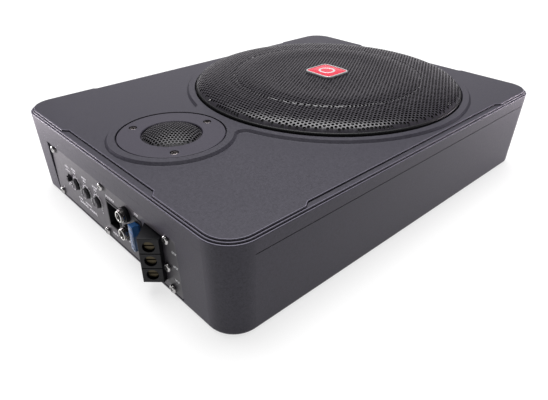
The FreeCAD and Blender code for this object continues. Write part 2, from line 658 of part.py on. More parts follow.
# ================================================================ control panel
def block_axes():
    """Middle, outward normal and sideways direction of the terminal block's slanted face."""
    a = V(BLOCK_APEX[0], BLOCK_APEX[1], 0)
    b = V(BLOCK_NOSE[0], BLOCK_NOSE[1], 0)
    side = (b - a).normalize()
    normal = V(side.y, -side.x, 0)
    return (a + b) * 0.5, normal, side


def cell_heights():
    middle = (BLOCK_Z0 + BLOCK_Z1) / 2
    return [middle + CELL_PITCH * (CELL_COUNT - 1 - 2 * i) / 2 for i in range(CELL_COUNT)]


def slanted_box(depth0, depth1, half_side, z0, z1):
    """Box below the slanted face, between two depths, half_side either way along the face."""
    mid, normal, side = block_axes()
    corners = []
    for depth, s in ((depth0, -1), (depth1, -1), (depth1, 1), (depth0, 1)):
        p = mid - normal * depth + side * (s * half_side)
        corners.append((p.x, p.y, z0))
    return Part.Face(polygon(corners)).extrude(V(0, 0, z1 - z0))


def slanted_cyl(depth0, depth1, z, r):
    mid, normal, side = block_axes()
    start = mid - normal * depth0
    return Part.makeCylinder(r, depth1 - depth0, V(start.x, start.y, z), -normal)


CAGE_FRONT = 6.4
CAGE_BACK = 11.3
CAGE_SIDE = 2.3
CAGE_HALF_Z = 3.1


def make_terminal_block():
    plan = [BLOCK_ROOT, BLOCK_APEX, BLOCK_NOSE, BLOCK_FOOT]
    body = Part.Face(polygon([(x, y, BLOCK_Z0) for x, y in plan])).extrude(V(0, 0, BLOCK_Z1 - BLOCK_Z0))
    body = body.makeFillet(0.5, [e for e in body.Edges if e.BoundBox.XMax < PANEL_FACE_X - 1])
    rear = box(PANEL_FACE_X - 0.5, -163.0, -65.2, -47.6, BLOCK_Z0 + 1, BLOCK_Z1 - 1)
    mid, normal, side = block_axes()
    tools = []
    for z in cell_heights():
        tools.append(slanted_cyl(-1, WELL_DEPTH, z, WELL_R))
        tools.append(slanted_cyl(0, WELL_DEPTH + 1.7, z, CLAMP_SCREW_SHANK_R + 0.35))
        c = CAGE_CLEARANCE
        half = CAGE_HALF_Z + c
        front = CAGE_FRONT - CAGE_TRAVEL - c
        tools.append(slanted_box(front, CAGE_BACK + c, CAGE_SIDE + c, z - half, z + half))
        entry = mid - normal * ((CAGE_FRONT + CAGE_BACK) / 2)
        tools.append(Part.makeCylinder(1.6, 12, V(entry.x, entry.y, z), -side))
    third = (BLOCK_Z1 - BLOCK_Z0) / 3
    for z in (BLOCK_Z0 + third, BLOCK_Z1 - third):
        tools.append(slanted_box(-1, 0.7, 8, z - 0.3, z + 0.3))
    save("terminal_block", cut(fuse([body, rear]), tools))
    for index, z in enumerate(cell_heights()):
        under = WELL_DEPTH - 0.1
        head = slanted_cyl(under - 1.4, under, z, CLAMP_SCREW_HEAD_R)
        slot = slanted_box(under - 1.7, under - 0.7, 4, z - 0.5, z + 0.5)
        screw = fuse([cut(head, [slot]), slanted_cyl(under, under + 4.4, z, CLAMP_SCREW_SHANK_R)])
        save("clamp_screw_%d" % (index + 1), screw)
        cage = slanted_box(CAGE_FRONT, CAGE_BACK, CAGE_SIDE, z - CAGE_HALF_Z, z + CAGE_HALF_Z)
        half = CAGE_HALF_Z - 0.8
        window = slanted_box(CAGE_FRONT + 0.9, CAGE_BACK - 0.9, CAGE_SIDE + 1, z - half, z + half)
        hole = slanted_cyl(CAGE_FRONT - 1, CAGE_FRONT + 1.5, z, CLAMP_SCREW_SHANK_R + 0.35)
        save("clamp_cage_%d" % (index + 1), cut(cage, [window, hole]))


def make_panel():
    plate = box(PANEL_FACE_X, PANEL_BACK_X, PANEL_Y0, PANEL_Y1, PANEL_Z0, PANEL_Z1)
    corners = [e for e in plate.Edges if e.BoundBox.XLength > PANEL_T - 0.1]
    plate = plate.makeFillet(PANEL_CORNER_R, corners)
    far = PANEL_FACE_X - 5
    back = PANEL_BACK_X + 1
    holes = [cyl_x(y, z, far, back, 1.6) for y, z in PANEL_SCREWS]
    holes += [cyl_x(y, KNOB_Z, far, back, KNOB_HOLE_R) for y in KNOBS.values()]
    holes += [cyl_x(RCA_Y, z, far, back, RCA_NECK_R + 0.3) for z in RCA_Z]
    lever0 = LEVER_Y - LEVER_WIDTH / 2
    holes.append(box(far, back, lever0 - 0.4, lever0 + LEVER_WIDTH + LEVER_TRAVEL + 0.4,
                     LEVER_Z - LEVER_HEIGHT / 2 - 0.4, LEVER_Z + LEVER_HEIGHT / 2 + 0.4))
    holes.append(box(far, back, SOCKET_Y0 - 0.1, SOCKET_Y1 + 0.1, SOCKET_Z0 - 0.1, SOCKET_Z1 + 0.1))
    y0, y1, z0, z1 = fuse_holder_box()
    holes.append(box(far, back, y0 - 0.1, y1 + 0.1, z0 - 0.1, z1 + 0.1))
    holes.append(box(far, back, -65.3, -47.5, BLOCK_Z0 + 0.9, BLOCK_Z1 - 0.9))
    save("control_panel", cut(plate, holes))

    screws = []
    for y, z in PANEL_SCREWS:
        head = cyl_x(y, z, PANEL_FACE_X - 2.1, PANEL_FACE_X, SCREW_HEAD_R)
        head = head.makeFillet(1.1, front_edges(head, PANEL_FACE_X - 2.1))
        cross = [box(PANEL_FACE_X - 3, PANEL_FACE_X - 1.1, y - 1.7, y + 1.7, z - 0.35, z + 0.35),
                 box(PANEL_FACE_X - 3, PANEL_FACE_X - 1.1, y - 0.35, y + 0.35, z - 1.7, z + 1.7)]
        shank = cyl_x(y, z, PANEL_FACE_X, PANEL_BACK_X + FRAME_T, SCREW_SHANK_R)
        screws.append(fuse([cut(head, cross), shank]))
    save("panel_screws", *screws)


def make_controls():
    pots = []
    for name, y in KNOBS.items():
        grip = cyl_x(y, KNOB_Z, KNOB_FRONT_X, KNOB_BACK_X, KNOB_R)
        grip = grip.makeFillet(0.5, front_edges(grip, KNOB_FRONT_X))
        slot = box(KNOB_FRONT_X - 1, KNOB_FRONT_X + 0.7, y - 0.5, y + 0.5, KNOB_Z, KNOB_Z + KNOB_R - 0.9)
        stem = cyl_x(y, KNOB_Z, KNOB_BACK_X, -162.0, KNOB_STEM_R)
        save(name, fuse([cut(grip, [slot]), stem]))
        can = box(POT_FRONT_X, POT_BACK_X, y - POT_HALF, y + POT_HALF, BOARD_TOP_Z, KNOB_Z + 5.5)
        pots.append(cut(can, [cyl_x(y, KNOB_Z, POT_FRONT_X - 1, -161.0, KNOB_STEM_R + 0.06)]))
    save("potentiometers", *pots)

    y0 = LEVER_Y - LEVER_WIDTH / 2
    z0, z1 = LEVER_Z - LEVER_HEIGHT / 2, LEVER_Z + LEVER_HEIGHT / 2
    lever = box(LEVER_FRONT_X, -165.2, y0, y0 + LEVER_WIDTH, z0, z1)
    lever = lever.makeFillet(0.4, front_edges(lever, LEVER_FRONT_X))
    save("phase_switch_lever", lever)
    body = box(-167.6, -158.0, 60.2, 71.0, BOARD_TOP_Z, LEVER_Z + 5.5)
    slot = box(-170, -164.8, y0 - 0.4, y0 + LEVER_WIDTH + LEVER_TRAVEL + 0.4, z0 - 0.4, z1 + 0.4)
    save("phase_switch_body", cut(body, [slot]))


def make_rca():
    shells, insulators = [], []
    for z in RCA_Z:
        washer_x = PANEL_FACE_X - RCA_WASHER_T
        shell = fuse([cyl_x(RCA_Y, z, RCA_FRONT_X, washer_x, RCA_SHELL_R),
                      cyl_x(RCA_Y, z, washer_x, -160.0, RCA_NECK_R)])
        shells.append(cut(shell, [cyl_x(RCA_Y, z, RCA_FRONT_X - 1, -161.0, RCA_SHELL_HOLE_R)]))
        washer = cyl_x(RCA_Y, z, washer_x, PANEL_FACE_X, RCA_WASHER_R)
        insulators.append(cut(washer, [cyl_x(RCA_Y, z, -180, -160, RCA_NECK_R + 0.05)]))
        core = cyl_x(RCA_Y, z, RCA_FRONT_X + 1.4, -161.0, RCA_SHELL_HOLE_R - 0.05)
        insulators.append(cut(core, [cyl_x(RCA_Y, z, RCA_FRONT_X, -162.0, 1.6)]))
    save("rca_shells", *shells)
    save("rca_insulators", *insulators)
    block = box(-167.0, -152.0, RCA_Y - 7.5, RCA_Y + 7.5, BOARD_TOP_Z, RCA_Z[0] + 4.6)
    save("rca_housing", cut(block, [cyl_x(RCA_Y, z, -175, -160.0, RCA_NECK_R + 0.05) for z in RCA_Z]))


def make_high_level_socket():
    back = PANEL_FACE_X + SOCKET_DEPTH + SOCKET_WALL
    w = SOCKET_WALL
    tub = box(PANEL_FACE_X - 0.4, back, SOCKET_Y0, SOCKET_Y1, SOCKET_Z0, SOCKET_Z1)
    space = box(PANEL_FACE_X - 1, back - w, SOCKET_Y0 + w, SOCKET_Y1 - w, SOCKET_Z0 + w, SOCKET_Z1 - w)
    foot = box(back - 6, back, SOCKET_Y0 + 1, SOCKET_Y1 - 1, BOARD_TOP_Z, SOCKET_Z0)
    middle_y = (SOCKET_Y0 + SOCKET_Y1) / 2
    pins = []
    for column in (-2.1, 2.1):
        for row in range(4):
            z = (SOCKET_Z0 + SOCKET_Z1) / 2 + (row - 1.5) * 4.2
            y = middle_y + column
            pins.append(box(back - 7.5, back - w, y - 0.5, y + 0.5, z - 0.5, z + 0.5))
    save("high_level_socket", fuse([cut(tub, [space]), foot]))
    save("socket_pins", *pins)


def fuse_holder_box():
    return FUSE_Y - 4.7, FUSE_Y + 4.7, FUSE_Z0 - 2.8, FUSE_Z0 + FUSE_HEIGHT + 2.8


def make_fuse():
    y0, y1, z0, z1 = fuse_holder_box()
    c = 0.3
    half = FUSE_THICKNESS / 2
    half_blade = BLADE_T / 2
    back = -156.0
    holder = box(PANEL_FACE_X - 0.4, back, y0, y1, z0, z1)
    foot = box(back - 8, back, y0 + 1, y1 - 1, BOARD_TOP_Z, z0)
    top = FUSE_Z0 + FUSE_HEIGHT
    blades = [(FUSE_Z0 + 0.7, FUSE_Z0 + 0.7 + BLADE_WIDTH), (top - 0.7 - BLADE_WIDTH, top - 0.7)]
    cuts = [box(PANEL_FACE_X - 2, FUSE_BACK_X + c, FUSE_Y - half - c, FUSE_Y + half + c,
                FUSE_Z0 - c, top + c)]
    end = FUSE_BACK_X + BLADE_LENGTH
    metal = []
    for b0, b1 in blades:
        cuts.append(box(FUSE_BACK_X - 1, end + c, FUSE_Y - half_blade - c, FUSE_Y + half_blade + c,
                        b0 - c, b1 + c))
        metal.append(box(FUSE_BACK_X, end, FUSE_Y - half_blade, FUSE_Y + half_blade, b0, b1))
    save("fuse_holder", cut(fuse([holder, foot]), cuts))
    body = box(FUSE_FRONT_X, FUSE_BACK_X, FUSE_Y - half, FUSE_Y + half, FUSE_Z0, top)
    body = body.makeFillet(0.5, [e for e in body.Edges if e.BoundBox.XMin < FUSE_FRONT_X + 0.1])
    save("fuse_body", body)
    save("fuse_blades", *metal)


# ================================================================ amplifier
BOARD_FIXINGS = [(-158.5, -87.0), (-158.5, 92.0), (-93.0, -87.0), (-93.0, 92.0)]


def make_amplifier():
    x0, x1, y0, y1 = BOARD
    board = box(x0, x1, y0, y1, BOARD_Z, BOARD_TOP_Z)
    save("amplifier_board", cut(board, [cyl(x, y, 0, 20, 1.6) for x, y in BOARD_FIXINGS]))
    screws = []
    for x, y in BOARD_FIXINGS:
        screws.append(fuse([cyl(x, y, BOARD_TOP_Z, BOARD_TOP_Z + 1.8, 2.8),
                            cyl(x, y, WALL + 2, BOARD_TOP_Z, 1.05)]))
    save("board_screws", *screws)

    z = BOARD_TOP_Z
    base = box(-95.5, -91.5, -78.0, 78.0, z, z + 30)
    fins = [box(-91.6, -84.5, y - 0.8, y + 0.8, z, z + 30) for y in range(-76, 77, 8)]
    save("heatsink", fuse([base] + fins))
    chips = [box(-100.2, -95.5, y - 5, y + 5, z + 6, z + 22) for y in (-60, -30, 0, 30, 60)]
    save("power_transistors", *chips)
    toroid_x, toroid_y = -122.0, -45.0
    core = Part.makeTorus(12.5, 5.5, V(toroid_x, toroid_y, z + 6))
    save("power_toroid", fuse([core, ring(toroid_x, toroid_y, z, z + 2, 15, 10)]))
    cans = [cyl(x, y, z, z + 26, 8) for x, y in ((-144, 80), (-126, 80), (-144, -76), (-126, -72))]
    cans = [c.makeFillet(1.0, horizontal_edges(c, z + 26)) for c in cans]
    save("filter_capacitors", *cans)
    coil = ring(-120, 45, z, z + 16, 11, 4)
    save("output_inductor", coil)


def lead(points, diameter):
    """Round lead along straight runs joined by tangent arcs."""
    vectors = [V(*p) for p in points]
    edges = []
    start = vectors[0]
    for before, at, after in zip(vectors, vectors[1:], vectors[2:]):
        run_in = before - at
        run_out = after - at
        shorter = min(run_in.Length, run_out.Length)
        u = V(run_in).normalize()
        w = V(run_out).normalize()
        half_turn = (math.pi - u.getAngle(w)) / 2
        setback = 0.45 * shorter
        radius = setback / math.tan(half_turn)
        a = at + u * setback
        b = at + w * setback
        bisector = (u + w).normalize()
        centre = at + bisector * (radius / math.cos(half_turn))
        middle = centre - bisector * radius
        edges.append(Part.LineSegment(start, a).toShape())
        edges.append(Part.Arc(a, middle, b).toShape())
        start = b
    edges.append(Part.LineSegment(start, vectors[-1]).toShape())
    path = Part.Wire(edges)
    first = (vectors[1] - vectors[0]).normalize()
    section = Part.Wire(Part.makeCircle(diameter / 2, vectors[0], first))
    tube = path.makePipeShell([section], True, True)
    expected = math.pi * diameter ** 2 / 4 * path.Length
    print("lead length %.1f  volume ratio %.4f" % (path.Length, tube.Volume / expected))
    return tube


def make_leads():
    board_end = BOARD_TOP_Z + 0.05
    woofer = [lead([(-62.6, y, 55.9), (-70.0, y, 54.4), (-80.0, y, 45.4), (-94.0, y, 44.7),
                    (-105.5, y * 0.8, 41.0), (-108.0, y * 0.7, 28.0), (-108.0, y * 0.7, board_end)], 1.6)
              for y in (-6.0, 6.0)]
    save("woofer_leads", *woofer)
    body_end = TWEETER_BODY_BOTTOM_Z - 0.05
    tweeter = [lead([(TWEETER_X + dx, 9.0, body_end), (TWEETER_X + dx, 9.0, 39.0),
                     (TWEETER_X + dx - 2, 17.0, 30.0), (TWEETER_X + dx - 2, 18.0, board_end)], 1.4)
               for dx in (-3.0, 3.0)]
    save("tweeter_leads", *tweeter)


os.makedirs("parts", exist_ok=True)
make_top_cover()
make_lower_housing()
make_enclosure_trim()
make_grille()
make_badge()
make_motor()
make_basket()
make_moving_parts()
make_tweeter()
make_terminal_block()
make_panel()
make_controls()
make_rca()
make_high_level_socket()
make_fuse()
make_amplifier()
make_leads()
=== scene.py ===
"""Looks of the powered car subwoofer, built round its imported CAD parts.  Metres, +Z up."""
import json
import math

import bmesh
import bpy
import numpy as np
from mathutils import Matrix, Vector
from mathutils.bvhtree import BVHTree


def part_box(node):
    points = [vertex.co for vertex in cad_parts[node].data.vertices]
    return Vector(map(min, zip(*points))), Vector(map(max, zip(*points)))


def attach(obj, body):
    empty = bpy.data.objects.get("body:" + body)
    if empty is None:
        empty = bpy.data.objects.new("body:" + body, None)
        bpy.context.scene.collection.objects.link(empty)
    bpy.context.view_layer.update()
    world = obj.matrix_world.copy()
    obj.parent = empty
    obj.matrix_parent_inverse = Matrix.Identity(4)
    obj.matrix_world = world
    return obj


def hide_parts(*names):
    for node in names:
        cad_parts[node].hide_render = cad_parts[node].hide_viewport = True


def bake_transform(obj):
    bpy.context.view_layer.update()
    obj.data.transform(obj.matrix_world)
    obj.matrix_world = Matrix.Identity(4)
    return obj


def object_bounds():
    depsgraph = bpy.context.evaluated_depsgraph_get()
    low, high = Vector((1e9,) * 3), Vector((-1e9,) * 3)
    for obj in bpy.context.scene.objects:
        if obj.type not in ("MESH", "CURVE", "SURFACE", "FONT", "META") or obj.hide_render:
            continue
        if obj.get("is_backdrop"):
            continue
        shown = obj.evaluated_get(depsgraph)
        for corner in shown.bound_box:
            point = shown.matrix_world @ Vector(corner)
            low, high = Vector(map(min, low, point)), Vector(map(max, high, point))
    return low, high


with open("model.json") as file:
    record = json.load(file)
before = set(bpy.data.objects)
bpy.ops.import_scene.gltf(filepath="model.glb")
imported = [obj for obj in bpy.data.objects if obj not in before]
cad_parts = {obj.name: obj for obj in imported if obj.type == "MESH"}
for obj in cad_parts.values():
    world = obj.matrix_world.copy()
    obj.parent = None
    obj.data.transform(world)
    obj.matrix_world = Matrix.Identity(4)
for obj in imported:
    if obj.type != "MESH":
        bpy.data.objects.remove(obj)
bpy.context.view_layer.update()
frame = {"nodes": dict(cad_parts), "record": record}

MM = 0.001
WAVES_PER_UNIT = 0.31       # a wave texture of scale 1 repeats this often in a unit of length


# ------------------------------------------------------------------ materials
def link(tree, a, b):
    tree.links.new(a, b)


def noise_at(tree, place, size, stretch, detail=2.0):
    """Noise whose features are about size metres across, stretched along the axes."""
    mapping = tree.nodes.new("ShaderNodeMapping")
    mapping.inputs["Scale"].default_value = [1 / (size * s) for s in stretch]
    link(tree, place, mapping.inputs["Vector"])
    tex = tree.nodes.new("ShaderNodeTexNoise")
    tex.inputs["Scale"].default_value = 1.0
    tex.inputs["Detail"].default_value = detail
    link(tree, mapping.outputs["Vector"], tex.inputs["Vector"])
    return tex.outputs["Fac"]


def cells_at(tree, place, size):
    """Rounded cells about size metres across."""
    tex = tree.nodes.new("ShaderNodeTexVoronoi")
    tex.inputs["Scale"].default_value = 1 / size
    link(tree, place, tex.inputs["Vector"])
    return tex.outputs["Distance"]


def weave_at(tree, place, size):
    """Crossing threads about size metres apart."""
    bands = []
    for direction in ("X", "Y"):
        wave = tree.nodes.new("ShaderNodeTexWave")
        wave.bands_direction = direction
        wave.inputs["Scale"].default_value = WAVES_PER_UNIT / size
        wave.inputs["Distortion"].default_value = 1.2
        link(tree, place, wave.inputs["Vector"])
        bands.append(wave.outputs["Fac"])
    high = tree.nodes.new("ShaderNodeMath")
    high.operation = "MAXIMUM"
    link(tree, bands[0], high.inputs[0])
    link(tree, bands[1], high.inputs[1])
    return high.outputs[0]


def spread(tree, source, low, high):
    """Maps the middle of a 0..1 texture to low..high."""
    node = tree.nodes.new("ShaderNodeMapRange")
    node.inputs["From Min"].default_value = 0.25
    node.inputs["From Max"].default_value = 0.75
    node.inputs["To Min"].default_value = low
    node.inputs["To Max"].default_value = high
    link(tree, source, node.inputs["Value"])
    return node.outputs["Result"]


# painted highlight: this mask picks the rounded upper edges, which material() lightens to stand for the
# light they catch
def painted_highlight_mask(tree):
    """1 where the surface slopes as a rounded upper edge does, 0 on flats and walls."""
    split = tree.nodes.new("ShaderNodeSeparateXYZ")
    link(tree, tree.nodes.new("ShaderNodeNewGeometry").outputs["Normal"], split.inputs[0])
    factors = []
    steeper, flatter = (0.74, 0.82, 0.0, 1.0), (0.95, 0.99, 1.0, 0.0)
    for low, high, start, end in (steeper, flatter):
        ramp = tree.nodes.new("ShaderNodeMapRange")
        ramp.interpolation_type = "SMOOTHSTEP"
        ramp.inputs["From Min"].default_value = low
        ramp.inputs["From Max"].default_value = high
        ramp.inputs["To Min"].default_value = start
        ramp.inputs["To Max"].default_value = end
        link(tree, split.outputs["Z"], ramp.inputs["Value"])
        factors.append(ramp.outputs["Result"])
    both = tree.nodes.new("ShaderNodeMath")
    both.operation = "MULTIPLY"
    link(tree, factors[0], both.inputs[0])
    link(tree, factors[1], both.inputs[1])
    return both.outputs[0]


def material(name, colour, roughness, metallic=0.0, texture="noise", size=0.4, depth=0.0,
             mottle=0.12, patch=6.0, stretch=(1, 1, 1), shine=0.06, edge_highlight_gain=1.0, **sockets):
    """Principled surface.

    Size and patch in mm are the grain and the tint patches, depth in mm is the relief,
    and the edge gain is how many times lighter the rounded upper edges are painted, a painted highlight.
    """
    mat = bpy.data.materials.new(name)
    mat.use_nodes = True
    tree = mat.node_tree
    shader = tree.nodes["Principled BSDF"]
    shader.inputs["Metallic"].default_value = metallic
    for socket, value in sockets.items():
        shader.inputs[socket.replace("_", " ")].default_value = value
    place = tree.nodes.new("ShaderNodeTexCoord").outputs["Object"]

    grain_size = size * MM
    if texture == "cells":
        grain = cells_at(tree, place, grain_size)
    elif texture == "weave":
        grain = weave_at(tree, place, grain_size)
    else:
        grain = noise_at(tree, place, grain_size, stretch)
    patches = noise_at(tree, place, patch * MM, (1, 1, 1), 3.0)
    both = tree.nodes.new("ShaderNodeMath")
    both.operation = "ADD"
    link(tree, grain, both.inputs[0])
    link(tree, patches, both.inputs[1])
    half = tree.nodes.new("ShaderNodeMath")
    half.operation = "MULTIPLY"
    half.inputs[1].default_value = 0.5
    link(tree, both.outputs[0], half.inputs[0])

    tint = tree.nodes.new("ShaderNodeMix")
    tint.data_type = "RGBA"
    tint.inputs["A"].default_value = [c * (1 - mottle) for c in colour] + [1]
    tint.inputs["B"].default_value = [min(1.0, c * (1 + mottle)) for c in colour] + [1]
    link(tree, spread(tree, half.outputs[0], 0.0, 1.0), tint.inputs["Factor"])
    coloured = tint.outputs["Result"]
    # painted highlight: the rounded upper edges are painted lighter, standing for the light they catch
    if edge_highlight_gain > 1.0:
        highlight_mix = tree.nodes.new("ShaderNodeMix")
        highlight_mix.data_type = "RGBA"
        link(tree, coloured, highlight_mix.inputs["A"])
        highlight_mix.inputs["B"].default_value = [min(1.0, c * edge_highlight_gain) for c in colour] + [1]
        link(tree, painted_highlight_mask(tree), highlight_mix.inputs["Factor"])
        coloured = highlight_mix.outputs["Result"]
    link(tree, coloured, shader.inputs["Base Color"])
    link(tree, spread(tree, patches, roughness - shine, roughness + shine), shader.inputs["Roughness"])
    if depth:
        bump = tree.nodes.new("ShaderNodeBump")
        bump.inputs["Distance"].default_value = depth * MM
        bump.inputs["Strength"].default_value = 1.0
        link(tree, grain, bump.inputs["Height"])
        link(tree, bump.outputs["Normal"], shader.inputs["Normal"])
    return mat


# the record's material slots
LOOK = {
    # the housing's rounded upper edges carry a painted highlight, four times lighter than the housing
    # colour
    "housing": material("moulded_plastic", (0.040, 0.0375, 0.049), 0.44, size=0.8, depth=0.035,
                        mottle=0.34, patch=1.8, edge_highlight_gain=4.0, Specular_IOR_Level=0.16),
    "panel": material("panel_plastic", (0.038, 0.035, 0.042), 0.42, size=0.35, depth=0.015,
                      mottle=0.16, patch=5.0, Specular_IOR_Level=0.45),
    "grille": material("grille_paint", (0.033, 0.030, 0.037), 0.27, size=0.5, depth=0.01,
                       mottle=0.15, patch=5.0, Specular_IOR_Level=0.29),
    "badge_metal": material("badge_plating", (0.56, 0.55, 0.56), 0.34, 0.15, size=0.3, depth=0.002,
                            mottle=0.05),
    "badge_red": material("badge_enamel", (0.62, 0.02, 0.05), 0.24, size=1.2, depth=0.004,
                          mottle=0.10, Specular_IOR_Level=0.3, Coat_Weight=0.2, Coat_Roughness=0.12),
    "screw_nickel": material("bright_nickel", (0.42, 0.41, 0.41), 0.18, 1.0, size=0.25, depth=0.006,
                             stretch=(1, 1, 6), mottle=0.08),
    "screw_steel": material("zinc_screw", (0.50, 0.50, 0.48), 0.36, 1.0, size=0.3, depth=0.01,
                            mottle=0.15),
    "black_plastic": material("black_plastic", (0.006, 0.006, 0.008), 0.48, size=0.4, depth=0.012,
                              mottle=0.2, Specular_IOR_Level=0.22),
    "knob_plastic": material("knob_plastic", (0.030, 0.028, 0.033), 0.46, size=0.4, depth=0.01,
                             mottle=0.2, Specular_IOR_Level=0.25),
    "surround_rubber": material("roll_rubber", (0.008, 0.008, 0.009), 0.70, size=0.3, depth=0.02,
                                mottle=0.2, Specular_IOR_Level=0.20),
    "gasket": material("gasket_foam", (0.030, 0.030, 0.032), 0.85, texture="cells", size=0.5,
                       depth=0.08, mottle=0.3),
    "cone_paper": material("cone_paper", (0.012, 0.012, 0.013), 0.80, size=0.7, depth=0.08,
                           stretch=(1, 3, 1), mottle=0.35, patch=4.0, Specular_IOR_Level=0.20),
    "cap": material("dust_cap_skin", (0.012, 0.012, 0.013), 0.62, size=0.5, depth=0.04,
                    mottle=0.25, Specular_IOR_Level=0.20),
    "former": material("former_foil", (0.62, 0.60, 0.55), 0.32, 1.0, size=0.4, depth=0.004,
                       stretch=(4, 4, 1), mottle=0.1),
    "copper": material("wound_copper", (0.72, 0.33, 0.14), 0.28, 1.0, size=0.22, depth=0.05,
                       stretch=(30, 30, 1), mottle=0.25),
    "spider_cloth": material("spider_cloth", (0.42, 0.25, 0.07), 0.82, texture="weave", size=0.6,
                             depth=0.08, mottle=0.25),
    "ferrite": material("ferrite", (0.045, 0.045, 0.047), 0.70, size=0.5, depth=0.03, mottle=0.25),
    "motor_steel": material("zinc_plate", (0.52, 0.51, 0.47), 0.34, 1.0, size=0.5, depth=0.012,
                            mottle=0.15),
    "basket": material("basket_paint", (0.012, 0.012, 0.013), 0.55, size=0.5, depth=0.02,
                       mottle=0.2, Specular_IOR_Level=0.30),
    "tweeter_plate": material("tweeter_trim", (0.034, 0.030, 0.044), 0.50, size=0.45, depth=0.03,
                              mottle=0.14, patch=1.5, Specular_IOR_Level=0.25),
    "tweeter_mesh": material("tweeter_mesh_paint", (0.046, 0.043, 0.049), 0.46, size=0.4, depth=0.01,
                             mottle=0.15, Specular_IOR_Level=0.26),
    "tweeter_silk": material("coated_silk", (0.008, 0.008, 0.009), 0.60, texture="weave", size=0.25,
                             depth=0.02, mottle=0.25),
    "board": material("solder_mask", (0.012, 0.085, 0.030), 0.36, texture="cells", size=2.4,
                      depth=0.03, mottle=0.35, patch=3.0),
    "heatsink": material("black_anodised", (0.045, 0.045, 0.050), 0.42, 0.6, size=0.3, depth=0.015,
                         stretch=(1, 1, 20), mottle=0.2),
    "chip": material("moulding_epoxy", (0.020, 0.020, 0.021), 0.60, size=0.25, depth=0.015,
                     mottle=0.2),
    "capacitor": material("shrink_sleeve", (0.010, 0.014, 0.040), 0.26, size=0.5, depth=0.01,
                          stretch=(1, 1, 8), mottle=0.2),
    "fuse_blue": material("fuse_plastic", (0.045, 0.165, 0.420), 0.20, size=0.9, depth=0.005,
                          mottle=0.10, Transmission_Weight=0.45, IOR=1.5),
    "tin": material("tinned_brass", (0.70, 0.69, 0.66), 0.25, 1.0, size=0.3, depth=0.01,
                    stretch=(8, 1, 1), mottle=0.12),
    "rca_nickel": material("socket_nickel", (0.24, 0.23, 0.225), 0.26, 1.0, size=0.3, depth=0.002,
                           stretch=(8, 1, 1), mottle=0.06),
    # painted shade: the terminal brass is darkened far below brass, standing for the shade deep in the
    # wells the clamp screws sit in
    "brass": material("terminal_brass_well_shade", (0.055, 0.046, 0.030), 0.34, 1.0, size=0.3, depth=0.015,
                      mottle=0.3),
    "lead": material("red_insulation", (0.34, 0.018, 0.016), 0.42, size=0.4, depth=0.01,
                     mottle=0.12),
    "lead_black": material("black_insulation", (0.016, 0.016, 0.017), 0.42, size=0.4, depth=0.01,
                           mottle=0.15),
}

# finishes of single details; all but the print and the pointer paint light or shade
# painted shade: the rolled grille rim is near black, standing for the shadow on the turned-down edge
GRILLE_RIM_SHADE = material("grille_rim_painted_shade", (0.010, 0.010, 0.011), 0.50, size=0.5, depth=0.01, mottle=0.15,
                      Specular_IOR_Level=0.20)
# painted shade: near black for the hole walls, the sheets' undersides and the tweeter cap's outer band,
# standing for the shade in and under the holes
HOLE_SHADE = material("hole_painted_shade", (0.004, 0.004, 0.004), 0.70, size=0.4, mottle=0.2,
                     Specular_IOR_Level=0.1)
# painted highlight: the socket lip is far brighter metal than the nickel shell it belongs to, standing for
# the light its front ring catches
LIP_HIGHLIGHT = material("lip_painted_highlight", (0.86, 0.84, 0.82), 0.18, 1.0, size=0.3, mottle=0.05)
# painted shade: the tweeter screws are the nickel screws darkened, standing for the shade of the recess
# they sit in
RECESS_SHADE_SCREW = material("recess_shaded_screw", (0.19, 0.17, 0.17), 0.20, 1.0, size=0.3, depth=0.004,
                          mottle=0.1)
# painted shade: the knob's side is near black, standing for the shadow on it, while the face keeps the
# knob colour
KNOB_SIDE_SHADE = material("knob_side_painted_shade", (0.006, 0.006, 0.007), 0.50, size=0.4, depth=0.01, mottle=0.2,
                     Specular_IOR_Level=0.2)
# painted light: a paler copy of the fuse plastic, standing for the bright floor seen through the
# translucent body
FUSE_BACKLIGHT = material("fuse_painted_backlight", (0.150, 0.225, 0.370), 0.20, size=0.9, depth=0.005,
                     mottle=0.10, Transmission_Weight=0.5, IOR=1.5)
PRINT = material("screen_print", (0.85, 0.85, 0.87), 0.50, size=0.2, depth=0.003, mottle=0.12)
MARK = material("pointer_paint", (0.20, 0.20, 0.21), 0.45, size=0.2, depth=0.003, mottle=0.10)

slot_of = {s["node"]: s["material_slot"] for s in frame["record"]["subparts"]}
for name, obj in frame["nodes"].items():
    if not obj.data.materials:
        obj.data.materials.append(None)
    # the tweeter screws take the darker copy, painted shade
    look = RECESS_SHADE_SCREW if name == "tweeter_screws" else LOOK[slot_of[name]]
    for index in range(len(obj.data.materials)):
        obj.data.materials[index] = look


# ------------------------------------------------------------------ mesh helpers
def piece(name, verts, faces, materials, body, smooth=30, marks=None):
    """A new mesh in the row frame, riding on a body.  marks gives each face's material."""
    mesh = bpy.data.meshes.new(name)
    mesh.from_pydata([tuple(v) for v in verts], [], faces)
    for m in materials:
        mesh.materials.append(m)
    if marks is not None:
        mesh.polygons.foreach_set("material_index", marks)
    mesh.validate()
    obj = bpy.data.objects.new(name, mesh)
    bpy.context.scene.collection.objects.link(obj)
    if smooth:
        mesh.shade_smooth()
        mesh.set_sharp_from_angle(angle=math.radians(smooth))
    if body:
        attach(obj, body)
    return obj


def revolved(profile, segments, place, closed=False):
    """Faces swept round an axis; place(radius, along, angle) gives each point."""
    verts, faces = [], []
    count = len(profile)
    for s in range(segments):
        angle = 2 * math.pi * s / segments
        verts += [place(r, h, angle) for r, h in profile]
    last = count if closed else count - 1
    for s in range(segments):
        a, b = s * count, (s + 1) % segments * count
        for i in range(last):
            j = (i + 1) % count
            faces.append((a + i, b + i, b + j, a + j))
    return verts, faces


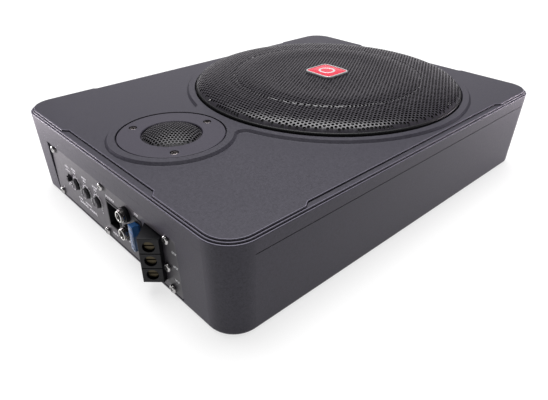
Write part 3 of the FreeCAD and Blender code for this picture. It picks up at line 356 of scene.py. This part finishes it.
def about_z(cx, cy):
    return lambda r, h, a: (cx + r * math.cos(a), cy + r * math.sin(a), h)


def about_x(cy, cz):
    return lambda r, h, a: (h, cy + r * math.cos(a), cz + r * math.sin(a))


def merged(*parts):
    """Joins (verts, faces) lists into one, with the number of faces in each."""
    verts, faces, counts = [], [], []
    for v, f in parts:
        base = len(verts)
        verts += list(v)
        faces += [tuple(i + base for i in face) for face in f]
        counts.append(len(f))
    return verts, faces, counts


def ring_pattern(outer, inner):
    """Triangles between an outer and an inner closed loop, given the angles of their points.

    Each corner is ("o", index) on the outer loop or ("i", index) on the inner one.
    """
    marks = sorted([(a, 0, i) for i, a in enumerate(outer)] + [(a, 1, i) for i, a in enumerate(inner)])
    at = [max(range(len(outer)), key=lambda i: outer[i]), max(range(len(inner)), key=lambda i: inner[i])]
    faces = []
    for _, side, index in marks:
        o, i = at
        if side == 0:
            faces.append((("o", o), ("o", index), ("i", i)))
        else:
            faces.append((("o", o), ("i", index), ("i", i)))
        at[side] = index
    return faces


def perforated(cx, cy, radius, drilled, pitch, hole_r, sides, height, thickness, keep=None):
    """Round sheet with staggered holes in rows along Y, height(r) its upper surface.

    The marks are 0 on the upper side, 1 on the underside and in the holes, where the callers put painted
    shade.
    """
    corner = pitch / math.sqrt(3)
    outer_angles = [math.radians(60 * k) for k in range(6)]
    inner_angles = [2 * math.pi * (k + 0.5) / sides for k in range(sides)]
    pattern = ring_pattern(outer_angles, inner_angles)
    verts, known = [], {}

    def corner_index(x, y):
        """Shared corner of neighbouring cells, pulled in to the sheet's edge."""
        key = (round(x / pitch * 60), round(y / pitch * 60))
        if key not in known:
            r = math.hypot(x, y)
            k = radius / r if r > radius else 1.0
            known[key] = len(verts)
            verts.append((x * k, y * k))
        return known[key]

    row_gap = pitch * math.sqrt(0.75)
    rows = int(radius / row_gap) + 2
    columns = int(radius / pitch) + 2
    top, walls = [], []
    for row in range(-rows, rows + 1):
        x0 = row * row_gap
        for column in range(-columns, columns + 1):
            y0 = (column + (row % 2) / 2) * pitch
            far = math.hypot(x0, y0)
            if far > radius + corner or (keep and not keep(far)):
                continue
            outer = [corner_index(x0 + corner * math.cos(a), y0 + corner * math.sin(a))
                     for a in outer_angles]
            if far > drilled:
                if far < radius + corner * 0.95:
                    top.append(tuple(outer))
                continue
            first = len(verts)
            verts += [(x0 + hole_r * math.cos(a), y0 + hole_r * math.sin(a)) for a in inner_angles]
            for tri in pattern:
                top.append(tuple(outer[i] if side == "o" else first + i for side, i in tri))
            walls += [(first + i, first + (i + 1) % sides) for i in range(sides)]
    count = len(verts)
    upper = [(cx + x, cy + y, height(math.hypot(x, y))) for x, y in verts]
    lower = [(x, y, z - thickness) for x, y, z in upper]
    faces = top + [tuple(i + count for i in reversed(f)) for f in top]
    faces += [(a, b, b + count, a + count) for a, b in walls]
    marks = [0] * len(top) + [1] * (len(top) + len(walls))
    return upper + lower, faces, marks


def surface_heights(node, cx, cy, reach, steps=240):
    """Upper surface of a round CAD node as a function of the distance from its centre."""
    tree = BVHTree.FromObject(frame["nodes"][node], bpy.context.evaluated_depsgraph_get())
    radii, heights = [], []
    off_edges = Vector((0.9998, 0.02, 0.0))
    nudge = Vector((1e-6, 1e-6, 0.0))
    for k in range(steps + 1):
        r = reach * k / steps
        start = Vector((cx, cy, 1.0)) + off_edges * r + nudge
        hit = tree.ray_cast(start, Vector((0, 0, -1)))[0]
        if hit:
            radii.append(r)
            heights.append(hit.z)
    return lambda r: float(np.interp(r, radii, heights))


# ------------------------------------------------------------------ woofer grille
grille_low, grille_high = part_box("woofer_grille")
woofer_x = (grille_low.x + grille_high.x) / 2
woofer_y = (grille_low.y + grille_high.y) / 2
grille_r = (grille_high.x - grille_low.x) / 2
SHEET = 0.9 * MM
HOLE_PITCH = 3.05 * MM
HOLE_R = 1.14 * MM
SHEET_R = grille_r - 2.0 * MM
DRILLED_R = SHEET_R - 1.2 * MM
EDGE_TURNS = ((15.0 * MM, 0.9 * MM), (3.6 * MM, 0.9 * MM))     # width and drop of each edge bend
CREASE_R = 80.3 * MM
CREASE_WIDTH = 0.8 * MM
CREASE_DEPTH = 0.45 * MM
GRILLE_SPLIT_R = 80.0 * MM
cad_dome = surface_heights("woofer_grille", woofer_x, woofer_y, grille_r - 1.2 * MM)


def dome(r):
    """The CAD dome with its pressed ring made a little crisper and its edge turned down."""
    crease = math.exp(-((r - CREASE_R) / CREASE_WIDTH) ** 2)
    height = cad_dome(r) - CREASE_DEPTH * crease
    for width, drop in EDGE_TURNS:
        height -= drop * (max(0.0, r - (SHEET_R - width)) / width) ** 2
    return height


for label, keep in (("centre", lambda r: r < GRILLE_SPLIT_R), ("border", lambda r: r >= GRILLE_SPLIT_R)):
    verts, faces, marks = perforated(woofer_x, woofer_y, radius=SHEET_R, drilled=DRILLED_R,
                                     pitch=HOLE_PITCH, hole_r=HOLE_R, sides=8, height=dome,
                                     thickness=SHEET, keep=keep)
    # the underside and hole walls take the painted shade
    sheet = piece("woofer_grille_" + label, verts, faces, [LOOK["grille"], HOLE_SHADE], "enclosure",
                  marks=marks)
    if label == "centre":
        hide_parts("woofer_grille")

edge_z = dome(SHEET_R)
edge_r = grille_r - 0.9 * MM
lap_r = SHEET_R - 0.2 * MM
ROLL_H = 1.4 * MM
ROLL_STEPS = 8
roll = [(lap_r, edge_z - SHEET), (lap_r, edge_z + 0.02 * MM)]
for k in range(1, ROLL_STEPS + 1):
    turn = math.radians(90 * k / ROLL_STEPS)
    roll.append((SHEET_R + (edge_r - SHEET_R) * math.sin(turn), edge_z - ROLL_H * (1 - math.cos(turn))))
roll += [(edge_r, grille_low.z), (edge_r - SHEET, grille_low.z), (edge_r - SHEET, edge_z - 3.0 * MM)]
verts, faces = revolved(roll, 192, about_z(woofer_x, woofer_y), closed=True)
# the rolled rim carries painted shade
piece("woofer_grille_rim", verts, faces, [GRILLE_RIM_SHADE], "enclosure", smooth=40)


# ------------------------------------------------------------------ badge
def rounded_loop(half_x, half_y, r, z, cx, cy, steps=8):
    """Closed loop round a rectangle with rounded corners, at height z."""
    points = []
    for corner, (sx, sy) in enumerate(((1, 1), (-1, 1), (-1, -1), (1, -1))):
        for k in range(steps + 1):
            a = math.radians(90 * corner + 90 * k / steps)
            points.append((cx + sx * (half_x - r) + r * math.cos(a),
                           cy + sy * (half_y - r) + r * math.sin(a), z))
    return points


def skinned(loops, cap_last=True):
    """Skin over a stack of loops with equal point counts."""
    n = len(loops[0])
    verts = [p for loop in loops for p in loop]
    faces = []
    for level in range(len(loops) - 1):
        a, b = level * n, (level + 1) * n
        faces += [(a + i, a + (i + 1) % n, b + (i + 1) % n, b + i) for i in range(n)]
    if cap_last:
        faces.append(tuple(range((len(loops) - 1) * n, len(loops) * n)))
    return verts, faces


badge_low, badge_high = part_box("badge_frame")
badge_x = (badge_low.x + badge_high.x) / 2
badge_y = (badge_low.y + badge_high.y) / 2
badge_top = badge_high.z
CORNER = 5.0 * MM
RIM = 1.3 * MM
MIN_CORNER = 0.6 * MM


def badge_loop(inset, z):
    """The badge's outline, drawn in by inset, at height z."""
    half_x = (badge_high.x - badge_low.x) / 2 - inset
    half_y = (badge_high.y - badge_low.y) / 2 - inset
    return rounded_loop(half_x, half_y, max(CORNER - inset, MIN_CORNER), z, badge_x, badge_y)


rim_profile = [(0.0, badge_low.z), (0.0, badge_top - 0.95 * MM), (0.10 * MM, badge_top - 0.6 * MM),
               (0.40 * MM, badge_top - 0.18 * MM), (0.70 * MM, badge_top), (RIM - 0.4 * MM, badge_top),
               (RIM - 0.12 * MM, badge_top - 0.15 * MM), (RIM, badge_top - 0.5 * MM),
               (RIM, badge_top - 0.9 * MM)]
verts, faces = skinned([badge_loop(inset, z) for inset, z in rim_profile], cap_last=False)
badge_rim = piece("badge_rim", verts, faces, [LOOK["badge_metal"]], "enclosure", smooth=50)
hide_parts("badge_frame")

crown = [(0.0, -0.55), (0.5, -0.5), (3.0, -0.36), (6.0, -0.27), (9.0, -0.22)]     # mm inward, mm up
verts, faces = skinned([badge_loop(RIM + inward * MM, badge_top + up * MM) for inward, up in crown])
enamel = piece("badge_enamel", verts, faces, [LOOK["badge_red"]], "enclosure", smooth=60)
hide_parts("badge_inlay")

ring_z = badge_top - 0.34 * MM
ring_section = [(7.4, -0.25), (7.25, 0.1), (6.9, 0.22), (5.7, 0.22), (5.35, 0.1), (5.2, -0.25)]     # mm
ring_profile = [(r * MM, ring_z + h * MM) for r, h in ring_section]
verts, faces = revolved(ring_profile, 72, about_z(badge_x, badge_y))
piece("badge_ring", verts, faces, [LOOK["badge_metal"]], "enclosure", smooth=50)

# ------------------------------------------------------------------ tweeter mesh
mesh_low, mesh_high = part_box("tweeter_grille")
tweeter_x = (mesh_low.x + mesh_high.x) / 2
tweeter_y = (mesh_low.y + mesh_high.y) / 2
mesh_r = (mesh_high.x - mesh_low.x) / 2
cad_cap = surface_heights("tweeter_grille", tweeter_x, tweeter_y, mesh_r - 0.15 * MM)
SHOULDER = 3.4 * MM
SHOULDER_DROP = 1.3 * MM
MESH_PITCH = 2.45 * MM
MESH_HOLE_R = 1.0 * MM
MESH_SHEET = 0.35 * MM


def cap_shape(r):
    """The CAD cap with its outer edge turned down a little."""
    t = min(1.0, max(0.0, (r - (mesh_r - SHOULDER)) / SHOULDER))
    return cad_cap(r) - SHOULDER_DROP * t * t


verts, faces, marks = perforated(tweeter_x, tweeter_y, radius=mesh_r - 0.1 * MM,
                                 drilled=mesh_r - 1.1 * MM, pitch=MESH_PITCH, hole_r=MESH_HOLE_R,
                                 sides=10, height=cap_shape, thickness=MESH_SHEET)
band = [(mesh_r - 0.1 * MM, cap_shape(mesh_r)), (mesh_r, cap_shape(mesh_r) - 0.3 * MM),
        (mesh_r, mesh_low.z), (mesh_r - 0.6 * MM, mesh_low.z)]
wall_verts, wall_faces = revolved(band[::-1], 96, about_z(tweeter_x, tweeter_y))
verts, faces, _ = merged((verts, faces), (wall_verts, wall_faces))
# the cap's outer band takes the painted shade as well
marks += [1] * len(wall_faces)
tweeter_mesh = piece("tweeter_mesh_cap", verts, faces, [LOOK["tweeter_mesh"], HOLE_SHADE], "enclosure",
                     marks=marks)
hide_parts("tweeter_grille")


# ------------------------------------------------------------------ surround and spider as rings of wedges
WEDGES = 24
WEDGE_STEPS = 6


def bending_ring(node, slot, inner_r, outer_r, rings, thickness, shape):
    """A ring of wedges, each shaped from the inner radius to the outer one."""
    for w in range(WEDGES):
        verts, faces = [], []
        for s in range(WEDGE_STEPS + 1):
            a = 2 * math.pi * (w + s / WEDGE_STEPS) / WEDGES
            for k in range(rings + 1):
                r = inner_r + (outer_r - inner_r) * k / rings
                z = shape((r - inner_r) / (outer_r - inner_r))
                x, y = woofer_x + r * math.cos(a), woofer_y + r * math.sin(a)
                verts += [(x, y, z + thickness / 2), (x, y, z - thickness / 2)]
        row = 2 * (rings + 1)
        for s in range(WEDGE_STEPS):
            for k in range(rings):
                p, q = s * row + 2 * k, (s + 1) * row + 2 * k
                faces += [(p, p + 2, q + 2, q), (p + 1, q + 1, q + 3, p + 3)]
        obj = piece("%s_%02d" % (node, w), verts, faces, [LOOK[slot]], None, smooth=40)
        centre = Vector((woofer_x, woofer_y, shape(0.5)))
        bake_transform(obj)
        if w == 0:
            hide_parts(node)


SURROUND_WIDTH = 23.5 * MM
CORRUGATIONS = 4
CORRUGATION_H = 1.1 * MM
roll_low, roll_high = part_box("surround")
roll_top = roll_high.z - 0.4 * MM
roll_base = roll_low.z + 0.4 * MM


def roll_shape(t):
    """Flat foot, half roll, flat foot."""
    inner_foot, outer_foot = 0.155, 0.785
    if t < inner_foot or t > outer_foot:
        return roll_base
    turn = math.pi * (t - inner_foot) / (outer_foot - inner_foot)
    return roll_base + (roll_top - roll_base) * math.sin(turn) ** 0.75


cloth_low, cloth_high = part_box("spider")
cloth_z = (cloth_low.z + cloth_high.z) / 2


def cloth_shape(t):
    """Waves, then a flat foot on the basket."""
    return cloth_z + CORRUGATION_H * math.sin(2 * math.pi * CORRUGATIONS * min(t * 1.06, 1.0))


surround_r = (roll_high.x - roll_low.x) / 2
spider_r = (cloth_high.x - cloth_low.x) / 2
former_low, former_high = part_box("voice_coil_former")
former_r = (former_high.x - former_low.x) / 2
bending_ring("surround", "surround_rubber", surround_r - SURROUND_WIDTH, surround_r,
             rings=26, thickness=0.8 * MM, shape=roll_shape)
bending_ring("spider", "spider_cloth", former_r + 0.02 * MM, spider_r,
             rings=40, thickness=0.5 * MM, shape=cloth_shape)

# ------------------------------------------------------------------ knobs
KNOBS = ("gain_knob", "crossover_knob", "bass_boost_knob")
FLUTES = 20
FLUTE_DEPTH = 0.22 * MM
FLUTED_RINGS = range(4, 8)      # profile points that the flutes cut into
# from this profile point on, the knob's side takes painted shade
SHADE_RING = 6                   # profile point where the dark side starts
FACE_MARK, POINTER_MARK, SHADE_MARK = range(3)
SKIRT_DEPTH = 5.6 * MM
STEM_R = 2.95 * MM
POINTER_HALF = 0.42 * MM
POINTER_DEPTH = 0.4 * MM
KNOB_SEGMENTS = 120

for knob in KNOBS:
    low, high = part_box(knob)
    cy, cz = (low.y + high.y) / 2, (low.z + high.z) / 2
    r = (high.y - low.y) / 2
    front = low.x
    skirt = front + SKIRT_DEPTH
    profile = [(0.0, front + 0.25 * MM), (r * 0.70, front + 0.25 * MM), (r * 0.76, front + 0.05 * MM),
               (r * 0.84, front), (r * 0.92, front + 0.35 * MM), (r * 0.975, front + 1.0 * MM),
               (r, front + 1.7 * MM), (r, skirt), (STEM_R, skirt), (STEM_R, high.x), (0.0, high.x)]
    verts, faces = [], []
    for s in range(KNOB_SEGMENTS):
        a = 2 * math.pi * s / KNOB_SEGMENTS
        groove = max(0.0, math.cos(FLUTES * a)) * FLUTE_DEPTH
        for k, (pr, px) in enumerate(profile):
            cut_r = pr - groove if k in FLUTED_RINGS else pr
            verts.append((px, cy + cut_r * math.cos(a), cz + cut_r * math.sin(a)))
    n = len(profile)
    for s in range(KNOB_SEGMENTS):
        a, b = s * n, (s + 1) % KNOB_SEGMENTS * n
        faces += [(a + i, a + i + 1, b + i + 1, b + i) for i in range(n - 1)]
    marks = [SHADE_MARK if i >= SHADE_RING else FACE_MARK for i in range(n - 1)] * KNOB_SEGMENTS

    base = len(verts)
    z0, z1 = cz + 0.4 * MM, cz + r * 0.9
    for x in (front - 0.02 * MM, front - 0.02 * MM + POINTER_DEPTH):
        verts += [(x, cy - POINTER_HALF, z0), (x, cy + POINTER_HALF, z0),
                  (x, cy + POINTER_HALF, z1), (x, cy - POINTER_HALF, z1)]
    pointer = ((0, 1, 2, 3), (0, 4, 5, 1), (1, 5, 6, 2), (2, 6, 7, 3), (3, 7, 4, 0))
    faces += [tuple(base + i for i in f) for f in pointer]
    marks += [POINTER_MARK] * len(pointer)
    # the side faces take the painted shade
    grip = piece(knob + "_grip", verts, faces, [LOOK["knob_plastic"], MARK, KNOB_SIDE_SHADE], knob,
                 smooth=35, marks=marks)
    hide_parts(knob)

# ------------------------------------------------------------------ phono sockets
shell_low, shell_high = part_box("rca_shells")
rca_y = (shell_low.y + shell_high.y) / 2
neck_r = (shell_high.y - shell_low.y) / 2
SHELL_R = 3.80 * MM
BORE_R = 3.20 * MM
LIP_R = SHELL_R + 0.08 * MM
CONTACT_R = 1.55 * MM
CONTACT_BORE_R = 1.05 * MM
# these lip steps take the painted highlight
LIP_RINGS = range(1, 7)         # profile steps that make the bright lip
SHELL_SEGMENTS = 64
CONTACT_SEGMENTS = 32
front, back = shell_low.x, shell_high.x
washer_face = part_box("rca_insulators")[0].x
rca_heights = [shell_high.z - neck_r, shell_low.z + neck_r]
tubes, tube_marks = [], []
for cz in rca_heights:
    shell = [(BORE_R, back - 1 * MM), (BORE_R, front + 0.25 * MM), (BORE_R + 0.12 * MM, front + 0.05 * MM),
             (BORE_R + 0.3 * MM, front), (SHELL_R - 0.1 * MM, front), (LIP_R, front + 0.12 * MM),
             (LIP_R, front + 0.75 * MM), (SHELL_R, front + 0.9 * MM), (SHELL_R, washer_face),
             (neck_r, washer_face + 0.02 * MM), (neck_r, back)]
    tubes.append(revolved(shell, SHELL_SEGMENTS, about_x(rca_y, cz)))
    tube_marks += [1 if i in LIP_RINGS else 0 for i in range(len(shell) - 1)] * SHELL_SEGMENTS
    contact = [(CONTACT_R, back - 2 * MM), (CONTACT_R, front + 2.7 * MM), (1.3 * MM, front + 2.5 * MM),
               (CONTACT_BORE_R, front + 2.7 * MM), (CONTACT_BORE_R, back - 2 * MM)]
    tubes.append(revolved(contact, CONTACT_SEGMENTS, about_x(rca_y, cz)))
    tube_marks += [0] * (len(contact) - 1) * CONTACT_SEGMENTS
verts, faces, _ = merged(*tubes)
sockets = piece("phono_shells", verts, faces, [LOOK["rca_nickel"], LIP_HIGHLIGHT], "enclosure",
                smooth=40, marks=tube_marks)
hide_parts("rca_shells")


# ------------------------------------------------------------------ blade fuse
def beveled_box(low, high, width, segments=3):
    """Box between two corners with its edges rounded over."""
    bm = bmesh.new()
    bmesh.ops.create_cube(bm, size=1.0)
    for v in bm.verts:
        v.co = Vector([low[i] + (high[i] - low[i]) * (v.co[i] + 0.5) for i in range(3)])
    bmesh.ops.bevel(bm, geom=bm.edges[:], offset=width, segments=segments, profile=0.7, affect="EDGES")
    bm.verts.index_update()
    verts = [tuple(v.co) for v in bm.verts]
    faces = [tuple(v.index for v in f.verts) for f in bm.faces]
    bm.free()
    return verts, faces


HEAD_DEPTH = 5.0 * MM
FOOT_DEPTH = 4.9 * MM
RAIL_OFFSET = 7.3 * MM
RAIL_HALF = 1.1 * MM
LABEL_HALF = 4.4 * MM
RAISED = 0.6 * MM
ROUNDING = 0.45 * MM
SMALL_ROUNDING = 0.2 * MM
fuse_low, fuse_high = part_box("fuse_body")
fuse_y = (fuse_low.y + fuse_high.y) / 2
fuse_z = (fuse_low.z + fuse_high.z) / 2
split_z = fuse_low.z + 0.62 * (fuse_high.z - fuse_low.z)
head_x = fuse_low.x + 0.2 * MM
foot_x = fuse_low.x + 0.25 * MM
head = beveled_box((head_x, fuse_low.y, split_z - 0.4 * MM),
                   (head_x + HEAD_DEPTH, fuse_high.y, fuse_high.z), ROUNDING)
foot = beveled_box((foot_x, fuse_low.y + 0.05 * MM, fuse_low.z),
                   (foot_x + FOOT_DEPTH, fuse_high.y - 0.05 * MM, split_z + 0.4 * MM), ROUNDING)
body = beveled_box((fuse_low.x + 4.6 * MM, fuse_low.y + 0.5 * MM, fuse_low.z + 1.2 * MM),
                   (fuse_high.x, fuse_high.y - 0.5 * MM, fuse_high.z - 1.2 * MM), 0.3 * MM)
rails = [beveled_box((fuse_low.x, fuse_low.y + 0.9 * MM, rail_z - RAIL_HALF),
                     (fuse_low.x + RAISED, fuse_high.y - 0.9 * MM, rail_z + RAIL_HALF), SMALL_ROUNDING)
         for rail_z in (fuse_z - RAIL_OFFSET, fuse_z + RAIL_OFFSET)]
label = beveled_box((fuse_low.x, fuse_low.y + 0.8 * MM, fuse_z - LABEL_HALF),
                    (fuse_low.x + RAISED, fuse_high.y - 0.8 * MM, fuse_z + LABEL_HALF), SMALL_ROUNDING)
verts, faces, counts = merged(head, body, foot, label, *rails)
# the foot, label and rails take the paler copy, painted light
blue_faces, backlit_faces = sum(counts[:2]), sum(counts[2:])       # head and body are blue, the rest pale
marks = [0] * blue_faces + [1] * backlit_faces
fuse = piece("fuse_cap", verts, faces, [LOOK["fuse_blue"], FUSE_BACKLIGHT], "fuse",
             smooth=40, marks=marks)
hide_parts("fuse_body")

# ------------------------------------------------------------------ panel print
panel_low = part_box("control_panel")[0]
INK = 0.05 * MM
DIAL_R = 5.9 * MM
DIAL_LINE = 0.34 * MM
TICK_R = 6.8 * MM
DIAL_START, DIAL_END = -40, 220     # degrees, anticlockwise from the right as seen from outside
DIAL_TICKS = 11
SMALL, MEDIUM, LARGE = 1.5 * MM, 1.7 * MM, 1.9 * MM
ink_verts, ink_faces = [], []


def ink(points):
    """Thin raised patch of print; points are (y, z), anticlockwise as seen from outside."""
    base = len(ink_verts)
    n = len(points)
    for x in (panel_low.x + 0.02 * MM, panel_low.x - INK):
        ink_verts.extend((x, y, z) for y, z in points)
    ink_faces.append(tuple(base + n + i for i in range(n)))
    for i in range(n):
        j = (i + 1) % n
        ink_faces.append((base + i, base + j, base + n + j, base + n + i))


def bar(y, z, wide, tall):
    """Upright rectangle of print round a point."""
    ink([(y + wide / 2, z - tall / 2), (y - wide / 2, z - tall / 2), (y - wide / 2, z + tall / 2),
         (y + wide / 2, z + tall / 2)])


def arc(cy, cz, r, width, start, end, steps):
    """Part of a printed ring, between two angles in degrees."""
    for k in range(steps):
        a, b = (math.radians(start + (end - start) * t / steps) for t in (k, k + 1))
        ink([(cy - q * math.cos(t), cz + q * math.sin(t))
             for q, t in ((r - width / 2, a), (r + width / 2, a), (r + width / 2, b), (r - width / 2, b))])


def words(y, z, letters, size):
    """A row of small strokes that stands for lettering."""
    stem = size * 0.24
    for k, tall in enumerate(letters):
        at = y - k * size * 0.72
        serif = size * (0.40 if k % 2 else -0.40) * tall
        bar(at, z, stem, size * tall)
        bar(at - stem, z + serif, size * 0.30, size * 0.22)


knob_boxes = {knob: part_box(knob) for knob in KNOBS}
for low, high in knob_boxes.values():
    cy, cz = (low.y + high.y) / 2, (low.z + high.z) / 2
    arc(cy, cz, DIAL_R, DIAL_LINE, DIAL_START, DIAL_END, steps=26)
    for k in range(DIAL_TICKS):
        a = math.radians(DIAL_START + (DIAL_END - DIAL_START) * k / (DIAL_TICKS - 1))
        along, side = Vector((-math.cos(a), math.sin(a))), Vector((math.sin(a), math.cos(a)))
        p = Vector((cy, cz)) + along * TICK_R
        ink([tuple(p + along * u * 0.42 * MM + side * v * 0.15 * MM)
             for u, v in ((-1, -1), (1, -1), (1, 1), (-1, 1))])
    words(cy + 4.4 * MM, cz + 11.6 * MM, (1, 0.8, 1, 0.9, 1, 1), MEDIUM)
    words(cy + 3.0 * MM, cz + 9.2 * MM, (1, 0.9, 1, 0.8), SMALL)
    bar(cy + 5.4 * MM, cz - 6.6 * MM, 1.2 * MM, 0.3 * MM)
    bar(cy - 5.4 * MM, cz - 6.6 * MM, 1.2 * MM, 0.3 * MM)
    bar(cy - 5.4 * MM, cz - 6.6 * MM, 0.3 * MM, 1.2 * MM)

knob_y = sorted((low.y + high.y) / 2 for low, high in knob_boxes.values())
line_z = knob_boxes["gain_knob"][0].z - 7.0 * MM
words(knob_y[-1] + 1.0 * MM, line_z, (1, 0.8, 1, 1, 0.9, 1), SMALL)
words(knob_y[1] + 7.0 * MM, line_z, (1, 0.9, 1, 1, 0.8, 1, 1, 0.9, 1), SMALL)
words(knob_y[1] + 17.0 * MM, line_z - 3.2 * MM, (1, 1, 0.8, 1, 0.9, 1, 1, 0.8, 1, 1), LARGE)
words(knob_y[1] + 1.5 * MM, line_z - 3.2 * MM, (1, 0.8, 1, 0.9, 1, 1, 0.8, 1, 1), LARGE)

lever_low, lever_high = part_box("phase_switch_lever")
lever_y = lever_low.y + 3.0 * MM
for s in (-1, 1):
    bar(lever_y + 1.5 * MM, lever_high.z + 3.2 * MM + (s - 1) * 5.4 * MM, 8.0 * MM, 0.4 * MM)
words(lever_y + 5.0 * MM, lever_high.z + 6.4 * MM, (1, 0.8, 1, 0.9, 1), MEDIUM)
words(lever_y + 5.0 * MM, lever_low.z - 6.0 * MM, (1, 0.9), SMALL)
words(lever_y - 0.5 * MM, lever_low.z - 6.0 * MM, (1, 0.9, 1), SMALL)

socket_low, socket_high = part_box("high_level_socket")
words(socket_high.y - 1.0 * MM, socket_high.z + 3.0 * MM, (1, 0.9, 1, 0.8, 1, 1, 0.9, 1, 1, 0.8), MEDIUM)
words(socket_high.y - 2.5 * MM, socket_low.z - 3.4 * MM, (1, 0.9, 1, 1, 0.8, 1), MEDIUM)
for cz in rca_heights:
    words(rca_y + 8.4 * MM, cz, (1,), 2.0 * MM)
words(rca_y + 5.0 * MM, rca_heights[1] - 9.0 * MM, (1, 0.9, 1, 1, 0.8, 1), MEDIUM)
words(fuse_y + 2.8 * MM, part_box("fuse_holder")[1].z + 2.6 * MM, (1, 0.9, 1, 1), MEDIUM)
words(fuse_y + 2.8 * MM, fuse_low.z - 6.0 * MM, (1, 0.9, 1), MEDIUM)
for n in (1, 2, 3):
    low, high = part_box("clamp_screw_%d" % n)
    words(panel_low.y + 6.6 * MM, (low.z + high.z) / 2 + 0.2 * MM, (1, 0.9, 1, 1), 1.6 * MM)
piece("panel_print", ink_verts, ink_faces, [PRINT], "enclosure", smooth=0)


# ------------------------------------------------------------------ floor, light and camera
def stage_mesh(name, verts, faces, mat):
    """Mesh that belongs to the studio, not to the part."""
    mesh = bpy.data.meshes.new(name)
    mesh.from_pydata(verts, [], faces)
    mesh.materials.append(mat)
    obj = bpy.data.objects.new(name, mesh)
    bpy.context.scene.collection.objects.link(obj)
    obj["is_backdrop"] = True
    return obj


FLOOR_HALF = 30.0
floor_paint = material("floor_paint", (0.28, 0.28, 0.28), 0.9, size=40.0, mottle=0.002, patch=200.0,
                       shine=0.01, Specular_IOR_Level=0.0, Emission_Color=(1, 1, 1, 1),
                       Emission_Strength=0.72)
floor_corners = [(x * FLOOR_HALF, y * FLOOR_HALF, 0) for x, y in ((-1, -1), (1, -1), (1, 1), (-1, 1))]
stage_mesh("floor", floor_corners, [(0, 1, 2, 3)], floor_paint)

# a white wall and ceiling that only the camera sees
WALL_R = 12.0
WALL_H = 12.0
WALL_FOOT = -0.5
glow = bpy.data.materials.new("wall_glow")
glow.use_nodes = True
glow_shader = glow.node_tree.nodes["Principled BSDF"]
glow_shader.inputs["Base Color"].default_value = (0, 0, 0, 1)
glow_shader.inputs["Specular IOR Level"].default_value = 0.0
glow_shader.inputs["Emission Color"].default_value = (1, 1, 1, 1)
glow_shader.inputs["Emission Strength"].default_value = 1.0
wall_verts, wall_faces = revolved([(WALL_R, WALL_FOOT), (WALL_R, WALL_H), (0.0, WALL_H)], 48,
                                  about_z(0.0, 0.0))
wall = stage_mesh("studio_wall", wall_verts, wall_faces, glow)
for ray in ("diffuse", "glossy", "transmission", "shadow", "volume_scatter"):
    setattr(wall, "visible_" + ray, False)

AMBIENT = 0.12
world = bpy.data.worlds.new("studio")
bpy.context.scene.world = world
world.use_nodes = True
world.node_tree.nodes["Background"].inputs["Color"].default_value = (1.0, 1.0, 1.0, 1)
world.node_tree.nodes["Background"].inputs["Strength"].default_value = AMBIENT


def aim(obj, at):
    """Turns a light to shine at a point."""
    direction = Vector(at) - obj.location
    obj.rotation_mode = "QUATERNION"
    obj.rotation_quaternion = direction.to_track_quat("-Z", "Y")


def area_light(name, place, at, width, height, power, colour=(1, 1, 1)):
    data = bpy.data.lights.new(name, "AREA")
    data.shape = "RECTANGLE"
    data.size, data.size_y = width, height
    data.energy = power
    data.color = colour
    obj = bpy.data.objects.new(name, data)
    bpy.context.scene.collection.objects.link(obj)
    obj.location = place
    aim(obj, at)


def sky_light(name, toward, strength, spread_degrees):
    data = bpy.data.lights.new(name, "SUN")
    data.energy = strength
    data.angle = math.radians(spread_degrees)
    obj = bpy.data.objects.new(name, data)
    bpy.context.scene.collection.objects.link(obj)
    obj.location = toward
    aim(obj, (0, 0, 0))


sky_light("rear_overhead_softbox", toward=(0.22, 0.26, 1.0), strength=5.2, spread_degrees=50)
area_light("rear_backdrop", place=(0.90, 0.90, 0.30), at=(0.0, 0.0, 0.068),
           width=1.8, height=0.4, power=1.7, colour=(1.0, 0.95, 1.0))
area_light("left_softbox", place=(-0.37, 0.38, 0.022), at=(-0.17, 0.02, 0.03),
           width=0.12, height=0.036, power=1.95, colour=(1.0, 0.91, 1.0))
area_light("right_softbox", place=(0.52, -0.31, 0.030), at=(0.14, -0.13, 0.04),
           width=0.25, height=0.05, power=2.2, colour=(1.0, 0.88, 1.0))

CAMERA_PLACE = (-0.28441, -0.28411, 0.21630)
AZIMUTH = math.radians(-43.12)
ELEVATION = math.radians(32.02)
ROLL = math.radians(0.35)
LENS_MM = 32.94
SENSOR_MM = 36.0
backward = Vector((math.sin(AZIMUTH) * math.cos(ELEVATION), -math.cos(AZIMUTH) * math.cos(ELEVATION),
                   math.sin(ELEVATION)))
level_right = Vector((0, 0, 1)).cross(backward).normalized()
level_up = backward.cross(level_right)
camera_right = level_right * math.cos(ROLL) + level_up * math.sin(ROLL)
camera_up = level_up * math.cos(ROLL) - level_right * math.sin(ROLL)
camera_data = bpy.data.cameras.new("camera")
camera_data.lens = LENS_MM
camera_data.sensor_width = SENSOR_MM
camera_data.clip_start, camera_data.clip_end = 0.01, 200.0
camera = bpy.data.objects.new("camera", camera_data)
bpy.context.scene.collection.objects.link(camera)
turn = Matrix((camera_right, camera_up, backward)).transposed()
camera.matrix_world = Matrix.Translation(CAMERA_PLACE) @ turn.to_4x4()
bpy.context.scene.camera = camera
bpy.context.scene.view_settings.view_transform = "Standard"

low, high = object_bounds()
